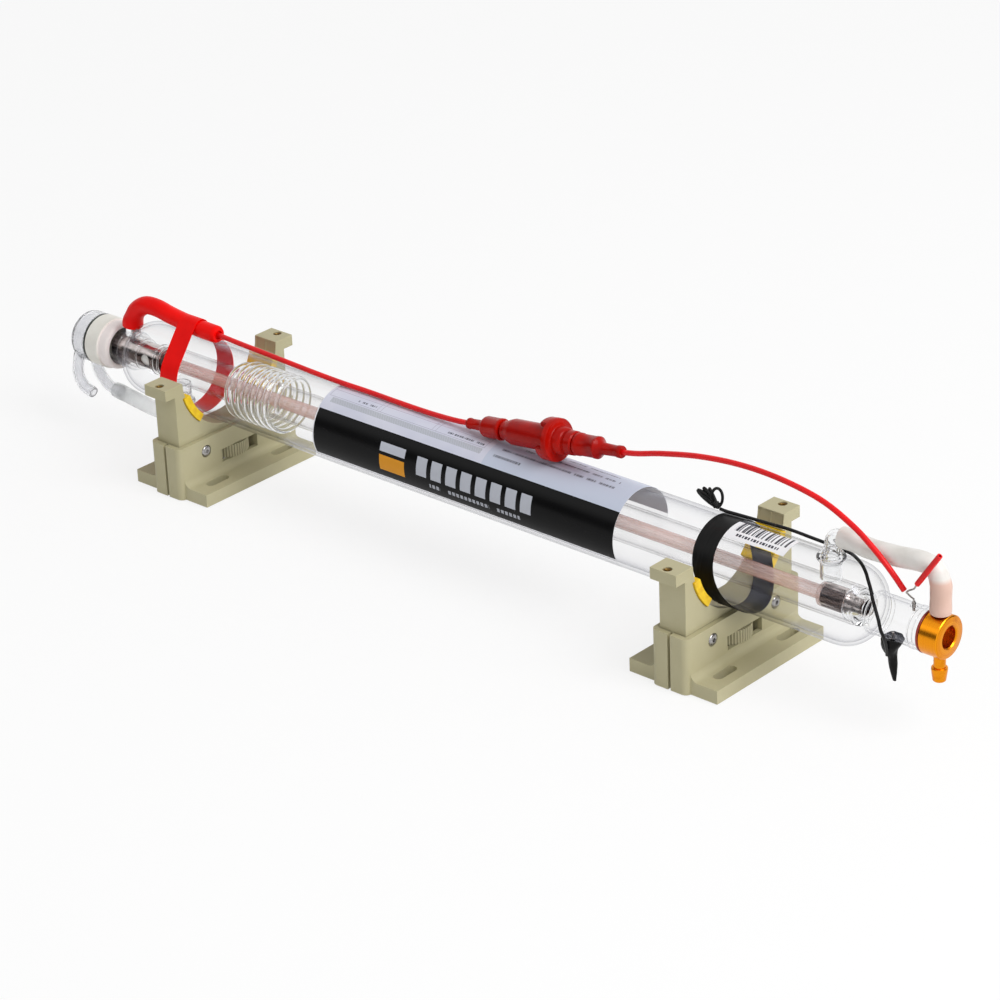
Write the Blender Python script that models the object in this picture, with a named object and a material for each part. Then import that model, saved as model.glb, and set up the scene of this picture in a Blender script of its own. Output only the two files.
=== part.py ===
"""A sealed glass CO2 laser tube lying on two height-adjustable supports.

World frame: +X runs along the tube towards the output head, +Z is up, and the origin is on the
bench under the middle of the tube. Every support is built in its own frame, below an empty.
"""
import math

import bmesh
import bpy
from mathutils import Matrix, Vector

MM = 0.001
GAP = 0.3 * MM                      # clearance that touching pieces keep

# The glass envelope
TUBE_RADIUS = 25.0 * MM
TUBE_WALL = 2.0 * MM
BARREL_HALF = 282.0 * MM            # full-diameter barrel, from mid-length to each shoulder
SHOULDER_LENGTH = 20.0 * MM
NECK_RADIUS = 12.4 * MM
NECK_WALL = 1.8 * MM
FRONT_NECK_LENGTH = 55.0 * MM       # from the barrel's end to the neck's end
REAR_NECK_LENGTH = 51.6 * MM

# Places along the tube are counted from the barrel's two ends.
FRONT = BARREL_HALF
REAR = -BARREL_HALF

# The inner glass
JACKET_RADIUS = 11.5 * MM
JACKET_WALL = 1.2 * MM
JACKET_REAR = REAR + 14.0 * MM
JACKET_FRONT = FRONT + 10.0 * MM
BORE_TUBE_RADIUS = 4.2 * MM
BORE_TUBE_WALL = 1.0 * MM
BORE_TUBE_REAR = REAR + 10.0 * MM
BORE_TUBE_FRONT = FRONT - 16.0 * MM
COIL_RADIUS = 18.0 * MM
COIL_TUBE_RADIUS = 1.7 * MM
COIL_PITCH = 5.9 * MM
COIL_TURNS = 7.5
COIL_REAR = REAR + 80.0 * MM

# The electrodes and their lead-through pins
REAR_ELECTRODE_RADIUS = 8.6 * MM
REAR_ELECTRODE_REAR = REAR - 37.0 * MM
REAR_ELECTRODE_FRONT = REAR + 6.0 * MM
FRONT_ELECTRODE_RADIUS = 7.3 * MM
FRONT_ELECTRODE_REAR = FRONT - 18.5 * MM
FRONT_ELECTRODE_FRONT = FRONT + 16.5 * MM
FRONT_ELECTRODE_TAIL_RADIUS = 5.0 * MM
ELECTRODE_WALL = 0.7 * MM
PIN_RADIUS = 0.8 * MM
ANODE_PIN_X = REAR - 23.0 * MM
CATHODE_PIN_X = FRONT + 31.3 * MM
NECK_PIN_X = FRONT + 45.2 * MM

# The output end
HEAD_RADIUS = 12.9 * MM
HEAD_LENGTH = 12.7 * MM
BEAM_BORE_RADIUS = 6.5 * MM
BEAM_CHAMFER = 0.8 * MM
WINDOW_RADIUS = 10.0 * MM
WINDOW_THICKNESS = 2.8 * MM
GASKET_THICKNESS = 1.4 * MM
BARB_ROOT_RADIUS = 3.5 * MM
BARB_RIDGE_RADIUS = 4.7 * MM
BARB_TIP_RADIUS = 3.7 * MM
BARB_BORE_RADIUS = 1.9 * MM
BARB_ROOT_LENGTH = 7.0 * MM
BARB_CONE_LENGTH = 8.4 * MM

# The mirror end
ADAPTOR_RADIUS = 17.2 * MM
ADAPTOR_STEP_RADIUS = 16.0 * MM
ADAPTOR_STEP_LENGTH = 12.0 * MM     # from the adaptor's rear to its step
ADAPTOR_LENGTH = 20.0 * MM
SEAL_THICKNESS = 1.6 * MM
CAP_RADIUS = 17.0 * MM
CAP_WALL = 2.2 * MM
CAP_LENGTH = 13.5 * MM
MIRROR_RADIUS = 12.4 * MM
MIRROR_THICKNESS = 3.0 * MM
NOZZLE_RADIUS = 3.8 * MM
NOZZLE_BORE_RADIUS = 2.4 * MM

# Water nipples and hoses
FRONT_NIPPLE_X = FRONT - 11.5 * MM
REAR_NIPPLE_X = REAR + 20.0 * MM
NIPPLE_STEM_RADIUS = 6.5 * MM
NIPPLE_FLARE_RADIUS = 8.5 * MM
NIPPLE_TUBE_RADIUS = 4.0 * MM
NIPPLE_BORE_RADIUS = 2.6 * MM
OUTPUT_HOSE_RADIUS = 6.0 * MM
OUTPUT_HOSE_FLARE = 6.3 * MM
REAR_HOSE_RADIUS = 5.1 * MM

# Where the supports stand under the tube
SUPPORT_X = {"out": FRONT - 87.0 * MM, "rear": REAR + 58.6 * MM}

# The wraps
WRAP_THICKNESS = 0.3 * MM
LABEL_REAR = -114.5 * MM
LABEL_FRONT = 128.5 * MM
LABEL_START_DEG = 30.0
LABEL_END_DEG = 228.0
BAND_TOP_X = SUPPORT_X["out"] + 0.4 * MM
STICKER_REAR = BAND_TOP_X + 7.9 * MM
STICKER_FRONT = FRONT_NIPPLE_X - 24.5 * MM
STICKER_START_DEG = 84.0
STICKER_END_DEG = 114.0
BAND_THICKNESS = 0.35 * MM
BAND_WIDTH = 15.0 * MM
BAND_SAG = 17.8 * MM                # how much further forward the band hangs under the tube
STRAP_REAR = REAR + 28.8 * MM
STRAP_FRONT = REAR + 44.0 * MM
STRAP_THICKNESS = 0.6 * MM

# Leads
HV_LEAD_RADIUS = 1.7 * MM
CATHODE_LEAD_RADIUS = 1.0 * MM
STRAND_RADIUS = 0.55 * MM

# The supports
FOOT_HALF_DEPTH = 32.5 * MM
FOOT_HALF_WIDTH = 49.9 * MM
FOOT_THICKNESS = 8.6 * MM
FOOT_FILLET = 4.5 * MM
BASE_HEIGHT = 36.0 * MM
WALL_OUTER = 13.3 * MM
WALL_THICKNESS = 3.3 * MM
POST_WALL = 3.7 * MM
POST_CORNER = 4.0 * MM
HALF_SLIT = 1.0 * MM
END_CLEARANCE = 0.4 * MM
SLOT_X = 22.0 * MM
SLOT_Y = 29.5 * MM
SLOT_LENGTH = 18.5 * MM
SLOT_WIDTH = 6.5 * MM
WINDOW_HALF = 16.0 * MM
WINDOW_LOW = BASE_HEIGHT - 21.8 * MM
WINDOW_HIGH = BASE_HEIGHT - 12.7 * MM
SCREW_Y = 29.3 * MM
SCREW_Z = BASE_HEIGHT - 9.1 * MM
SCREW_RADIUS = 2.0 * MM
SCREW_HEAD_RADIUS = 3.9 * MM
SCREW_HEAD_HEIGHT = 2.2 * MM
SCREW_SINK = 1.8 * MM
HEX_ACROSS = 2.5 * MM
LIFT_TRAVEL = 15.0 * MM

CRADLE_HALF_WIDTH = 49.2 * MM
CRADLE_TOP = BASE_HEIGHT + 42.0 * MM
CRADLE_LEG_BOTTOM = 4.0 * MM
CRADLE_SEAT_RADIUS = 42.0 * MM
EAR_REACH = 8.0 * MM                 # how far the ears stick out past the cradle's sides
EAR_THICKNESS = 7.5 * MM
WHEEL_RADIUS = 15.0 * MM
WHEEL_TEETH = 48
WHEEL_TOOTH = 0.45 * MM
WHEEL_PLAY = 0.4 * MM
STUD_RADIUS = 4.0 * MM
STUD_TOP = BASE_HEIGHT - 2.5 * MM
PAD_START_DEG = 16.5
PAD_END_DEG = 46.5
PAD_POCKET = 2.3 * MM
PAD_THICKNESS = 5.3 * MM
PAD_PROUD = 1.3 * MM
ARM_RECESS = 1.6 * MM
INSERT_REACH = 3.8 * MM
INSERT_RADIUS = 2.6 * MM
INSERT_BORE_RADIUS = 1.7 * MM
INSERT_SINK = 0.8 * MM

# What follows from the sizes above
SEAT_Z = BASE_HEIGHT + 1.7 * MM                     # the bottom of the cradle's seat
AXIS_Z = SEAT_Z + GAP + TUBE_RADIUS                 # the tube lies in the seat
TUBE_TOP = AXIS_Z + TUBE_RADIUS
SHOULDER_LIP = 8.0 * MM                             # radius at which the shoulder's curve starts
SHOULDER_STEPS = 4
TUBE_SEGMENTS = 32
CAVITY_HALF = WALL_OUTER - WALL_THICKNESS
CRADLE_HALF_THICKNESS = CAVITY_HALF - GAP
CAVITY_HALF_WIDTH = CRADLE_HALF_WIDTH + END_CLEARANCE
POST_OUTER = CAVITY_HALF_WIDTH + POST_WALL
EAR_OUTER = CRADLE_HALF_WIDTH + EAR_REACH
INSERT_Y = CRADLE_HALF_WIDTH + INSERT_REACH
FIT = 0.2 * MM                                      # clearance of pieces that are bonded face to face
FRONT_NECK_END = FRONT + FRONT_NECK_LENGTH
REAR_NECK_END = REAR - REAR_NECK_LENGTH
HEAD_REAR = FRONT_NECK_END + FIT + GASKET_THICKNESS + FIT
HEAD_FACE = HEAD_REAR + HEAD_LENGTH
HEAD_BARB_X = HEAD_REAR + 0.5 * HEAD_LENGTH
ADAPTOR_REAR = REAR_NECK_END - 2.4 * MM
ADAPTOR_STEP = ADAPTOR_REAR + ADAPTOR_STEP_LENGTH
ADAPTOR_FRONT = ADAPTOR_REAR + ADAPTOR_LENGTH
SEAL_FRONT = ADAPTOR_REAR - FIT
SEAL_REAR = SEAL_FRONT - SEAL_THICKNESS
CAP_MOUTH = SEAL_REAR - FIT
CAP_REAR = CAP_MOUTH - CAP_LENGTH
WRAP_INNER = TUBE_RADIUS + GAP
JACKET_TOP = AXIS_Z + JACKET_RADIUS
JACKET_BOTTOM = AXIS_Z - JACKET_RADIUS


def clear_scene():
    for old in list(bpy.data.objects):
        bpy.data.objects.remove(old, do_unlink=True)


def make_material(name, colour, roughness=0.5, metallic=0.0, transmission=0.0):
    material = bpy.data.materials.new(name)
    material.use_nodes = True
    shader = material.node_tree.nodes["Principled BSDF"]
    shader.inputs["Base Color"].default_value = (*colour, 1.0)
    shader.inputs["Roughness"].default_value = roughness
    shader.inputs["Metallic"].default_value = metallic
    shader.inputs["Transmission Weight"].default_value = transmission
    material.diffuse_color = (*colour, 1.0)
    return material


def add_object(name, bm, material, parent=None):
    """Turn a bmesh into a named, smooth-shaded object with one material."""
    mesh = bpy.data.meshes.new(name)
    bmesh.ops.recalc_face_normals(bm, faces=bm.faces)
    bm.to_mesh(mesh)
    bm.free()
    mesh.shade_smooth()
    mesh.set_sharp_from_angle(angle=math.radians(32))
    mesh.materials.append(material)
    made = bpy.data.objects.new(name, mesh)
    bpy.context.collection.objects.link(made)
    made.parent = parent
    return made


def add_cutter(name, bm, parent=None):
    mesh = bpy.data.meshes.new(name)
    bmesh.ops.recalc_face_normals(bm, faces=bm.faces)
    bm.to_mesh(mesh)
    bm.free()
    made = bpy.data.objects.new(name, mesh)
    bpy.context.collection.objects.link(made)
    made.parent = parent
    made.hide_render = True
    made.display_type = "WIRE"
    return made


def combine(target, other, operation):
    modifier = target.modifiers.new(other.name, "BOOLEAN")
    modifier.object = other
    modifier.operation = operation
    modifier.solver = "EXACT"


def cut(target, bm, name):
    combine(target, add_cutter(name, bm, target.parent), "DIFFERENCE")


def join(target, bm, name):
    combine(target, add_cutter(name, bm, target.parent), "UNION")


def arc(centre, radius, start_deg, end_deg, steps):
    """Points on an arc in a plane, from start to end."""
    points = []
    for i in range(steps + 1):
        angle = math.radians(start_deg + (end_deg - start_deg) * i / steps)
        points.append((centre[0] + radius * math.cos(angle), centre[1] + radius * math.sin(angle)))
    return points


def two_circle_outline(first, first_radius, second, second_radius, first_steps, second_steps):
    """The belt round two circles of different size: an arc on each and the lines between them."""
    across = second[0] - first[0]
    up = second[1] - first[1]
    heading = math.degrees(math.atan2(up, across))
    lean = math.degrees(math.acos((first_radius - second_radius) / math.hypot(across, up)))
    return (arc(first, first_radius, heading + lean, heading + 360 - lean, first_steps)
            + arc(second, second_radius, heading - lean, heading + lean, second_steps))


def prism(outline, low, high, axes="XYZ"):
    """Extrude a closed outline. The first two letters of axes are its plane, the third its length."""
    order = ["XYZ".index(letter) for letter in axes]
    bm = bmesh.new()
    ring = []
    for u, v in outline:
        place = [0.0, 0.0, 0.0]
        place[order[0]] = u
        place[order[1]] = v
        place[order[2]] = low
        ring.append(bm.verts.new(place))
    face = bm.faces.new(ring)
    made = bmesh.ops.extrude_face_region(bm, geom=[face])
    shift = [0.0, 0.0, 0.0]
    shift[order[2]] = high - low
    moved = [item for item in made["geom"] if isinstance(item, bmesh.types.BMVert)]
    bmesh.ops.translate(bm, vec=shift, verts=moved)
    return bm


def block(low, high):
    outline = [(low[0], low[1]), (high[0], low[1]), (high[0], high[1]), (low[0], high[1])]
    return prism(outline, low[2], high[2])


def turned(profile, axis="X", centre=(0.0, 0.0, 0.0), segments=48):
    """Spin a closed profile of (along, radius) points about an axis through centre."""
    lines = {"X": (Vector((1, 0, 0)), Vector((0, 0, 1))),
             "Y": (Vector((0, 1, 0)), Vector((0, 0, 1))),
             "Z": (Vector((0, 0, 1)), Vector((1, 0, 0)))}
    along, out = lines[axis]
    base = Vector(centre)
    bm = bmesh.new()
    verts = [bm.verts.new(base + along * a + out * r) for a, r in profile]
    edges = [bm.edges.new((verts[i], verts[(i + 1) % len(verts)])) for i in range(len(verts))]
    on_axis = [edge for edge in edges if all((v.co - base).cross(along).length < 1e-7 for v in edge.verts)]
    for edge in on_axis:
        bm.edges.remove(edge)
    bmesh.ops.spin(bm, geom=bm.verts[:] + bm.edges[:], cent=base, axis=along, dvec=(0, 0, 0),
                   angle=2 * math.pi, steps=segments, use_merge=True, use_duplicate=False)
    bmesh.ops.remove_doubles(bm, verts=bm.verts, dist=1e-6)
    return bm


def rod(radius, start, end, axis="X", centre=(0.0, 0.0, 0.0), segments=16):
    return turned([(start, 0.0), (start, radius), (end, radius), (end, 0.0)], axis, centre, segments)


def placed(x, points, stretch=1.0):
    """Route points listed in mm: how far on from x, across, and above the tube's axis."""
    return [(x + along * stretch * MM, across * MM, AXIS_Z + up * MM) for along, across, up in points]


def smooth_route(points, spacing):
    """Read evenly spaced points from a Catmull-Rom curve through the route's own points."""
    fixed = [Vector(point) for point in points]
    ends = [fixed[0] * 2 - fixed[1]] + fixed + [fixed[-1] * 2 - fixed[-2]]
    fine = []
    for i in range(1, len(ends) - 2):
        p0, p1, p2, p3 = ends[i - 1:i + 3]
        for step in range(16):
            t = step / 16
            fine.append(0.5 * ((2 * p1) + (p2 - p0) * t + (2 * p0 - 5 * p1 + 4 * p2 - p3) * t * t
                               + (3 * p1 - p0 - 3 * p2 + p3) * t * t * t))
    fine.append(fixed[-1])
    lengths = [0.0]
    for a, b in zip(fine, fine[1:]):
        lengths.append(lengths[-1] + (b - a).length)
    count = max(2, round(lengths[-1] / spacing))
    route = []
    j = 0
    for i in range(count + 1):
        wanted = lengths[-1] * i / count
        while j < len(fine) - 2 and lengths[j + 1] < wanted:
            j += 1
        share = (wanted - lengths[j]) / max(lengths[j + 1] - lengths[j], 1e-9)
        route.append(fine[j].lerp(fine[j + 1], min(share, 1.0)))
    return route


def frames_along(route):
    """A tangent and two cross directions at each point, carried along without twist."""
    frames = []
    side = None
    for i, point in enumerate(route):
        before = route[max(i - 1, 0)]
        after = route[min(i + 1, len(route) - 1)]
        tangent = (after - before).normalized()
        if side is None:
            side = tangent.orthogonal()
        side = (side - tangent * side.dot(tangent)).normalized()
        frames.append((point, side, tangent.cross(side)))
    return frames


def swept(route, radii, sides=12, bore=None):
    """A round bar along a route, with a radius at each point, or a tube where bore is given."""
    bm = bmesh.new()
    frames = frames_along(route)

    def skin(sizes):
        rings = []
        for (point, side, up), size in zip(frames, sizes):
            ring = []
            for k in range(sides):
                angle = 2 * math.pi * k / sides
                ring.append(bm.verts.new(point + (side * math.cos(angle) + up * math.sin(angle)) * size))
            rings.append(ring)
        for first, second in zip(rings, rings[1:]):
            for k in range(sides):
                n = (k + 1) % sides
                bm.faces.new((first[k], first[n], second[n], second[k]))
        return rings

    outer = skin(radii)
    if bore is None:
        bm.faces.new(outer[0])
        bm.faces.new(outer[-1])
        return bm
    inner = skin([bore] * len(route))
    for end in (0, -1):
        for k in range(sides):
            n = (k + 1) % sides
            bm.faces.new((outer[end][k], outer[end][n], inner[end][n], inner[end][k]))
    return bm


def taper(route, stops):
    """Radii along a route, read from (share of the length, radius) stops."""
    radii = []
    for i in range(len(route)):
        share = i / (len(route) - 1)
        for (s0, r0), (s1, r1) in zip(stops, stops[1:]):
            if share <= s1 or (s1, r1) == stops[-1]:
                radii.append(r0 + (r1 - r0) * min(max((share - s0) / (s1 - s0), 0.0), 1.0))
                break
    return radii


def cord(name, points, radius, material, spacing):
    """A plain cord: a poly curve with a round bevel and filled caps."""
    route = smooth_route(points, spacing)
    curve = bpy.data.curves.new(name, "CURVE")
    curve.dimensions = "3D"
    curve.bevel_depth = radius
    curve.bevel_resolution = 2
    curve.use_fill_caps = True
    spline = curve.splines.new("POLY")
    spline.points.add(len(route) - 1)
    for place, point in zip(spline.points, route):
        place.co = (*point, 1.0)
    curve.materials.append(material)
    made = bpy.data.objects.new(name, curve)
    bpy.context.collection.objects.link(made)
    return made


def wrap(name, rear, front, start_deg, end_deg, material, steps):
    """A thin sheet stuck round the barrel between two angles, counted from +Y over the top."""
    outline = arc((0.0, AXIS_Z), WRAP_INNER + WRAP_THICKNESS, start_deg, end_deg, steps)
    outline += arc((0.0, AXIS_Z), WRAP_INNER, end_deg, start_deg, steps)
    return add_object(name, prism(outline, rear, front, "YZX"), material)


# Materials

glass = make_material("clear_glass", (0.86, 0.9, 0.92), 0.03, 0.0, 1.0)
pink_glass = make_material("pink_glass", (0.86, 0.55, 0.5), 0.08, 0.0, 0.7)
cap_glass = make_material("cap_glass", (0.84, 0.86, 0.92), 0.1, 0.0, 0.9)
ceramic = make_material("white_ceramic", (0.87, 0.85, 0.81), 0.35)
seal_rubber = make_material("black_rubber", (0.02, 0.02, 0.02), 0.5)
mirror_coat = make_material("mirror_coat", (0.9, 0.72, 0.4), 0.08, 1.0)
window_crystal = make_material("window_crystal", (0.85, 0.5, 0.12), 0.06, 0.0, 0.6)
gold = make_material("gold_anodised", (0.86, 0.42, 0.07), 0.28, 1.0)
gasket_red = make_material("gasket_red", (0.45, 0.06, 0.03), 0.45)
nickel = make_material("nickel", (0.36, 0.31, 0.29), 0.3, 1.0)
hose_white = make_material("milky_silicone", (0.85, 0.84, 0.8), 0.4)
hose_clear = make_material("clear_silicone", (0.78, 0.82, 0.83), 0.3)
red_silicone = make_material("red_silicone", (0.78, 0.01, 0.005), 0.35)
red_plastic = make_material("red_plastic", (0.5, 0.015, 0.01), 0.35)
red_insulation = make_material("red_insulation", (0.75, 0.02, 0.02), 0.3)
black_insulation = make_material("black_insulation", (0.012, 0.012, 0.012), 0.35)
black_shrink = make_material("black_shrink", (0.02, 0.02, 0.02), 0.5)
black_tape = make_material("black_tape", (0.012, 0.01, 0.012), 0.4)
label_print = make_material("label_print", (0.02, 0.02, 0.022), 0.35)
sticker_paper = make_material("sticker_paper", (0.85, 0.85, 0.88), 0.4)
tinned_wire = make_material("tinned_wire", (0.4, 0.38, 0.36), 0.35, 1.0)
beige_plastic = make_material("beige_plastic", (0.49, 0.46, 0.33), 0.5)
yellow_rubber = make_material("yellow_rubber", (0.9, 0.62, 0.01), 0.45)
brass = make_material("brass", (0.75, 0.5, 0.18), 0.3, 1.0)
steel = make_material("steel", (0.62, 0.62, 0.63), 0.25, 1.0)


def shoulder(end_sign, offset, steps):
    """Points of a domed shoulder from the barrel to the neck, moved in by offset."""
    points = []
    lip = SHOULDER_LIP
    rise = TUBE_RADIUS - lip - offset
    reach = SHOULDER_LENGTH - offset
    lowest = math.degrees(math.asin((NECK_RADIUS - offset * NECK_WALL / TUBE_WALL - lip) / rise))
    for i in range(steps + 1):
        angle = math.radians(90 + (lowest - 90) * i / steps)
        points.append((end_sign * (BARREL_HALF + reach * math.cos(angle)), lip + rise * math.sin(angle)))
    return points


def envelope_clearance():
    """The envelope's outside grown by the gap, to cut what is fused or fitted onto it."""
    neck = NECK_RADIUS + GAP
    profile = [(CAP_REAR, 0.0), (CAP_REAR, neck)]
    profile += list(reversed(shoulder(-1, -GAP, SHOULDER_STEPS))) + shoulder(1, -GAP, SHOULDER_STEPS)
    profile += [(HEAD_FACE, neck), (HEAD_FACE, 0.0)]
    return turned(profile, "X", (0, 0, AXIS_Z), TUBE_SEGMENTS)


def build_outer_tube():
    """The gas envelope: a barrel drawn down to a neck at each end, as one turned shell."""
    outer = [(REAR_NECK_END, NECK_RADIUS)]
    outer += list(reversed(shoulder(-1, 0.0, SHOULDER_STEPS))) + shoulder(1, 0.0, SHOULDER_STEPS)
    outer += [(FRONT_NECK_END, NECK_RADIUS)]
    inner = [(FRONT_NECK_END, NECK_RADIUS - NECK_WALL)]
    inner += list(reversed(shoulder(1, TUBE_WALL, SHOULDER_STEPS))) + shoulder(-1, TUBE_WALL, SHOULDER_STEPS)
    inner += [(REAR_NECK_END, NECK_RADIUS - NECK_WALL)]
    tube = add_object("outer_tube", turned(outer + inner, "X", (0, 0, AXIS_Z), TUBE_SEGMENTS), glass)
    hole = NIPPLE_STEM_RADIUS + GAP
    cut(tube, rod(hole, AXIS_Z, TUBE_TOP + TUBE_WALL, "Z", (FRONT_NIPPLE_X, 0, 0), 14), "front_nipple_hole")
    cut(tube, rod(hole, 0.0, AXIS_Z, "Z", (REAR_NIPPLE_X, 0, 0), 14), "rear_nipple_hole")
    pin_hole = PIN_RADIUS + GAP
    cut(tube, rod(pin_hole, AXIS_Z, TUBE_TOP, "Z", (ANODE_PIN_X, 0, 0), 8), "anode_pin_hole")
    cut(tube, rod(pin_hole, 0.0, AXIS_Z, "Z", (CATHODE_PIN_X, 0, 0), 8), "cathode_pin_hole")
    cut(tube, rod(pin_hole, AXIS_Z, TUBE_TOP, "Z", (NECK_PIN_X, 0, 0), 8), "neck_pin_hole")


def build_inner_glass():
    """The water jacket, the narrow discharge tube inside it, and the gas-return spiral round it."""
    neck = BORE_TUBE_RADIUS + GAP
    round_off = 6.0 * MM
    outer = [(JACKET_REAR, neck)]
    outer += [(JACKET_REAR + round_off - a, r) for a, r in
              arc((0.0, JACKET_RADIUS - round_off), round_off, 0, 90, 3)]
    front_neck = FRONT_ELECTRODE_TAIL_RADIUS + GAP
    outer += [(JACKET_FRONT - 3 * MM + a, r) for a, r in arc((0.0, JACKET_RADIUS - 3 * MM), 3 * MM, 90, 0, 2)]
    outer += [(JACKET_FRONT, front_neck)]
    wall = JACKET_WALL
    inner = [(JACKET_FRONT - wall, front_neck), (JACKET_FRONT - wall, JACKET_RADIUS - 3 * MM),
             (JACKET_FRONT - 3 * MM, JACKET_RADIUS - wall), (JACKET_REAR + round_off, JACKET_RADIUS - wall),
             (JACKET_REAR + wall + 1.5 * MM, JACKET_RADIUS - round_off + 2.5 * MM), (JACKET_REAR + wall, neck)]
    add_object("water_jacket", turned(outer + inner, "X", (0, 0, AXIS_Z), 24), glass)

    bore = BORE_TUBE_RADIUS - BORE_TUBE_WALL
    profile = [(BORE_TUBE_REAR, bore), (BORE_TUBE_REAR, BORE_TUBE_RADIUS),
               (BORE_TUBE_FRONT, BORE_TUBE_RADIUS), (BORE_TUBE_FRONT, bore)]
    add_object("discharge_tube", turned(profile, "X", (0, 0, AXIS_Z), 16), pink_glass)

    # The spiral starts and ends against the jacket, where the gas enters and leaves it.
    steps_per_turn = 12
    touch = JACKET_RADIUS + COIL_TUBE_RADIUS + GAP
    points = []
    for i in range(round(COIL_TURNS * steps_per_turn) + 1):
        turn = i / steps_per_turn
        angle = 2 * math.pi * turn
        from_end = min(turn, COIL_TURNS - turn)
        radius = touch + (COIL_RADIUS - touch) * min(from_end / 0.35, 1.0)
        points.append(Vector((COIL_REAR + COIL_PITCH * turn, radius * math.cos(angle),
                              AXIS_Z + radius * math.sin(angle))))
    add_object("gas_return_coil", swept(points, [COIL_TUBE_RADIUS] * len(points), 5), glass)


def build_electrodes():
    """Nickel sleeves at both ends of the discharge, and the pins that reach them through the necks."""
    wall = ELECTRODE_WALL
    radius = REAR_ELECTRODE_RADIUS
    profile = [(REAR_ELECTRODE_REAR, radius - wall), (REAR_ELECTRODE_REAR, radius),
               (REAR_ELECTRODE_FRONT, radius), (REAR_ELECTRODE_FRONT, BORE_TUBE_RADIUS + GAP),
               (REAR_ELECTRODE_FRONT - wall, BORE_TUBE_RADIUS + GAP), (REAR_ELECTRODE_FRONT - wall, radius - wall)]
    sleeve = add_object("rear_electrode", turned(profile, "X", (0, 0, AXIS_Z), 20), nickel)
    vent = rod(3.2 * MM, -2 * radius, 2 * radius, "Y", (REAR - 14.0 * MM, 0, AXIS_Z), 10)
    cut(sleeve, vent, "rear_electrode_vent")

    radius = FRONT_ELECTRODE_RADIUS
    tail = FRONT_ELECTRODE_TAIL_RADIUS
    waist = FRONT_ELECTRODE_FRONT - 10.5 * MM
    profile = [(FRONT_ELECTRODE_REAR, BORE_TUBE_RADIUS + GAP), (FRONT_ELECTRODE_REAR, radius),
               (waist - 3 * MM, radius), (waist, tail), (FRONT_ELECTRODE_FRONT, tail),
               (FRONT_ELECTRODE_FRONT, tail - wall), (waist, tail - wall), (waist - 3 * MM, radius - wall),
               (FRONT_ELECTRODE_REAR + wall, radius - wall), (FRONT_ELECTRODE_REAR + wall, BORE_TUBE_RADIUS + GAP)]
    add_object("front_electrode", turned(profile, "X", (0, 0, AXIS_Z), 20), nickel)

    pin_foot = AXIS_Z + REAR_ELECTRODE_RADIUS + GAP
    add_object("anode_pin", rod(PIN_RADIUS, pin_foot, AXIS_Z + NECK_RADIUS + 7 * MM, "Z",
                                (ANODE_PIN_X, 0, 0), 8), tinned_wire)
    pin_top = AXIS_Z - NECK_RADIUS + NECK_WALL + 1.5 * MM
    add_object("cathode_pin", rod(PIN_RADIUS, AXIS_Z - NECK_RADIUS - 8 * MM, pin_top, "Z",
                                  (CATHODE_PIN_X, 0, 0), 8), tinned_wire)
    pin_foot = AXIS_Z + NECK_RADIUS - NECK_WALL - 1.5 * MM
    add_object("neck_pin", rod(PIN_RADIUS, pin_foot, AXIS_Z + NECK_RADIUS + 2.8 * MM, "Z",
                               (NECK_PIN_X, 0, 0), 8), tinned_wire)


def barb_profile(foot, direction):
    """A hose barb standing on a head: spigot, root, ridge and tapering nose, with a bore."""
    ridge = foot + direction * BARB_ROOT_LENGTH
    tip = ridge + direction * BARB_CONE_LENGTH
    spigot = foot - direction * 2.0 * MM
    return [(spigot, BARB_BORE_RADIUS), (spigot, BARB_ROOT_RADIUS - 0.5 * MM), (foot, BARB_ROOT_RADIUS - 0.5 * MM),
            (foot, BARB_ROOT_RADIUS), (ridge, BARB_ROOT_RADIUS), (ridge, BARB_RIDGE_RADIUS),
            (tip, BARB_TIP_RADIUS), (tip, BARB_BORE_RADIUS)]


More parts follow.
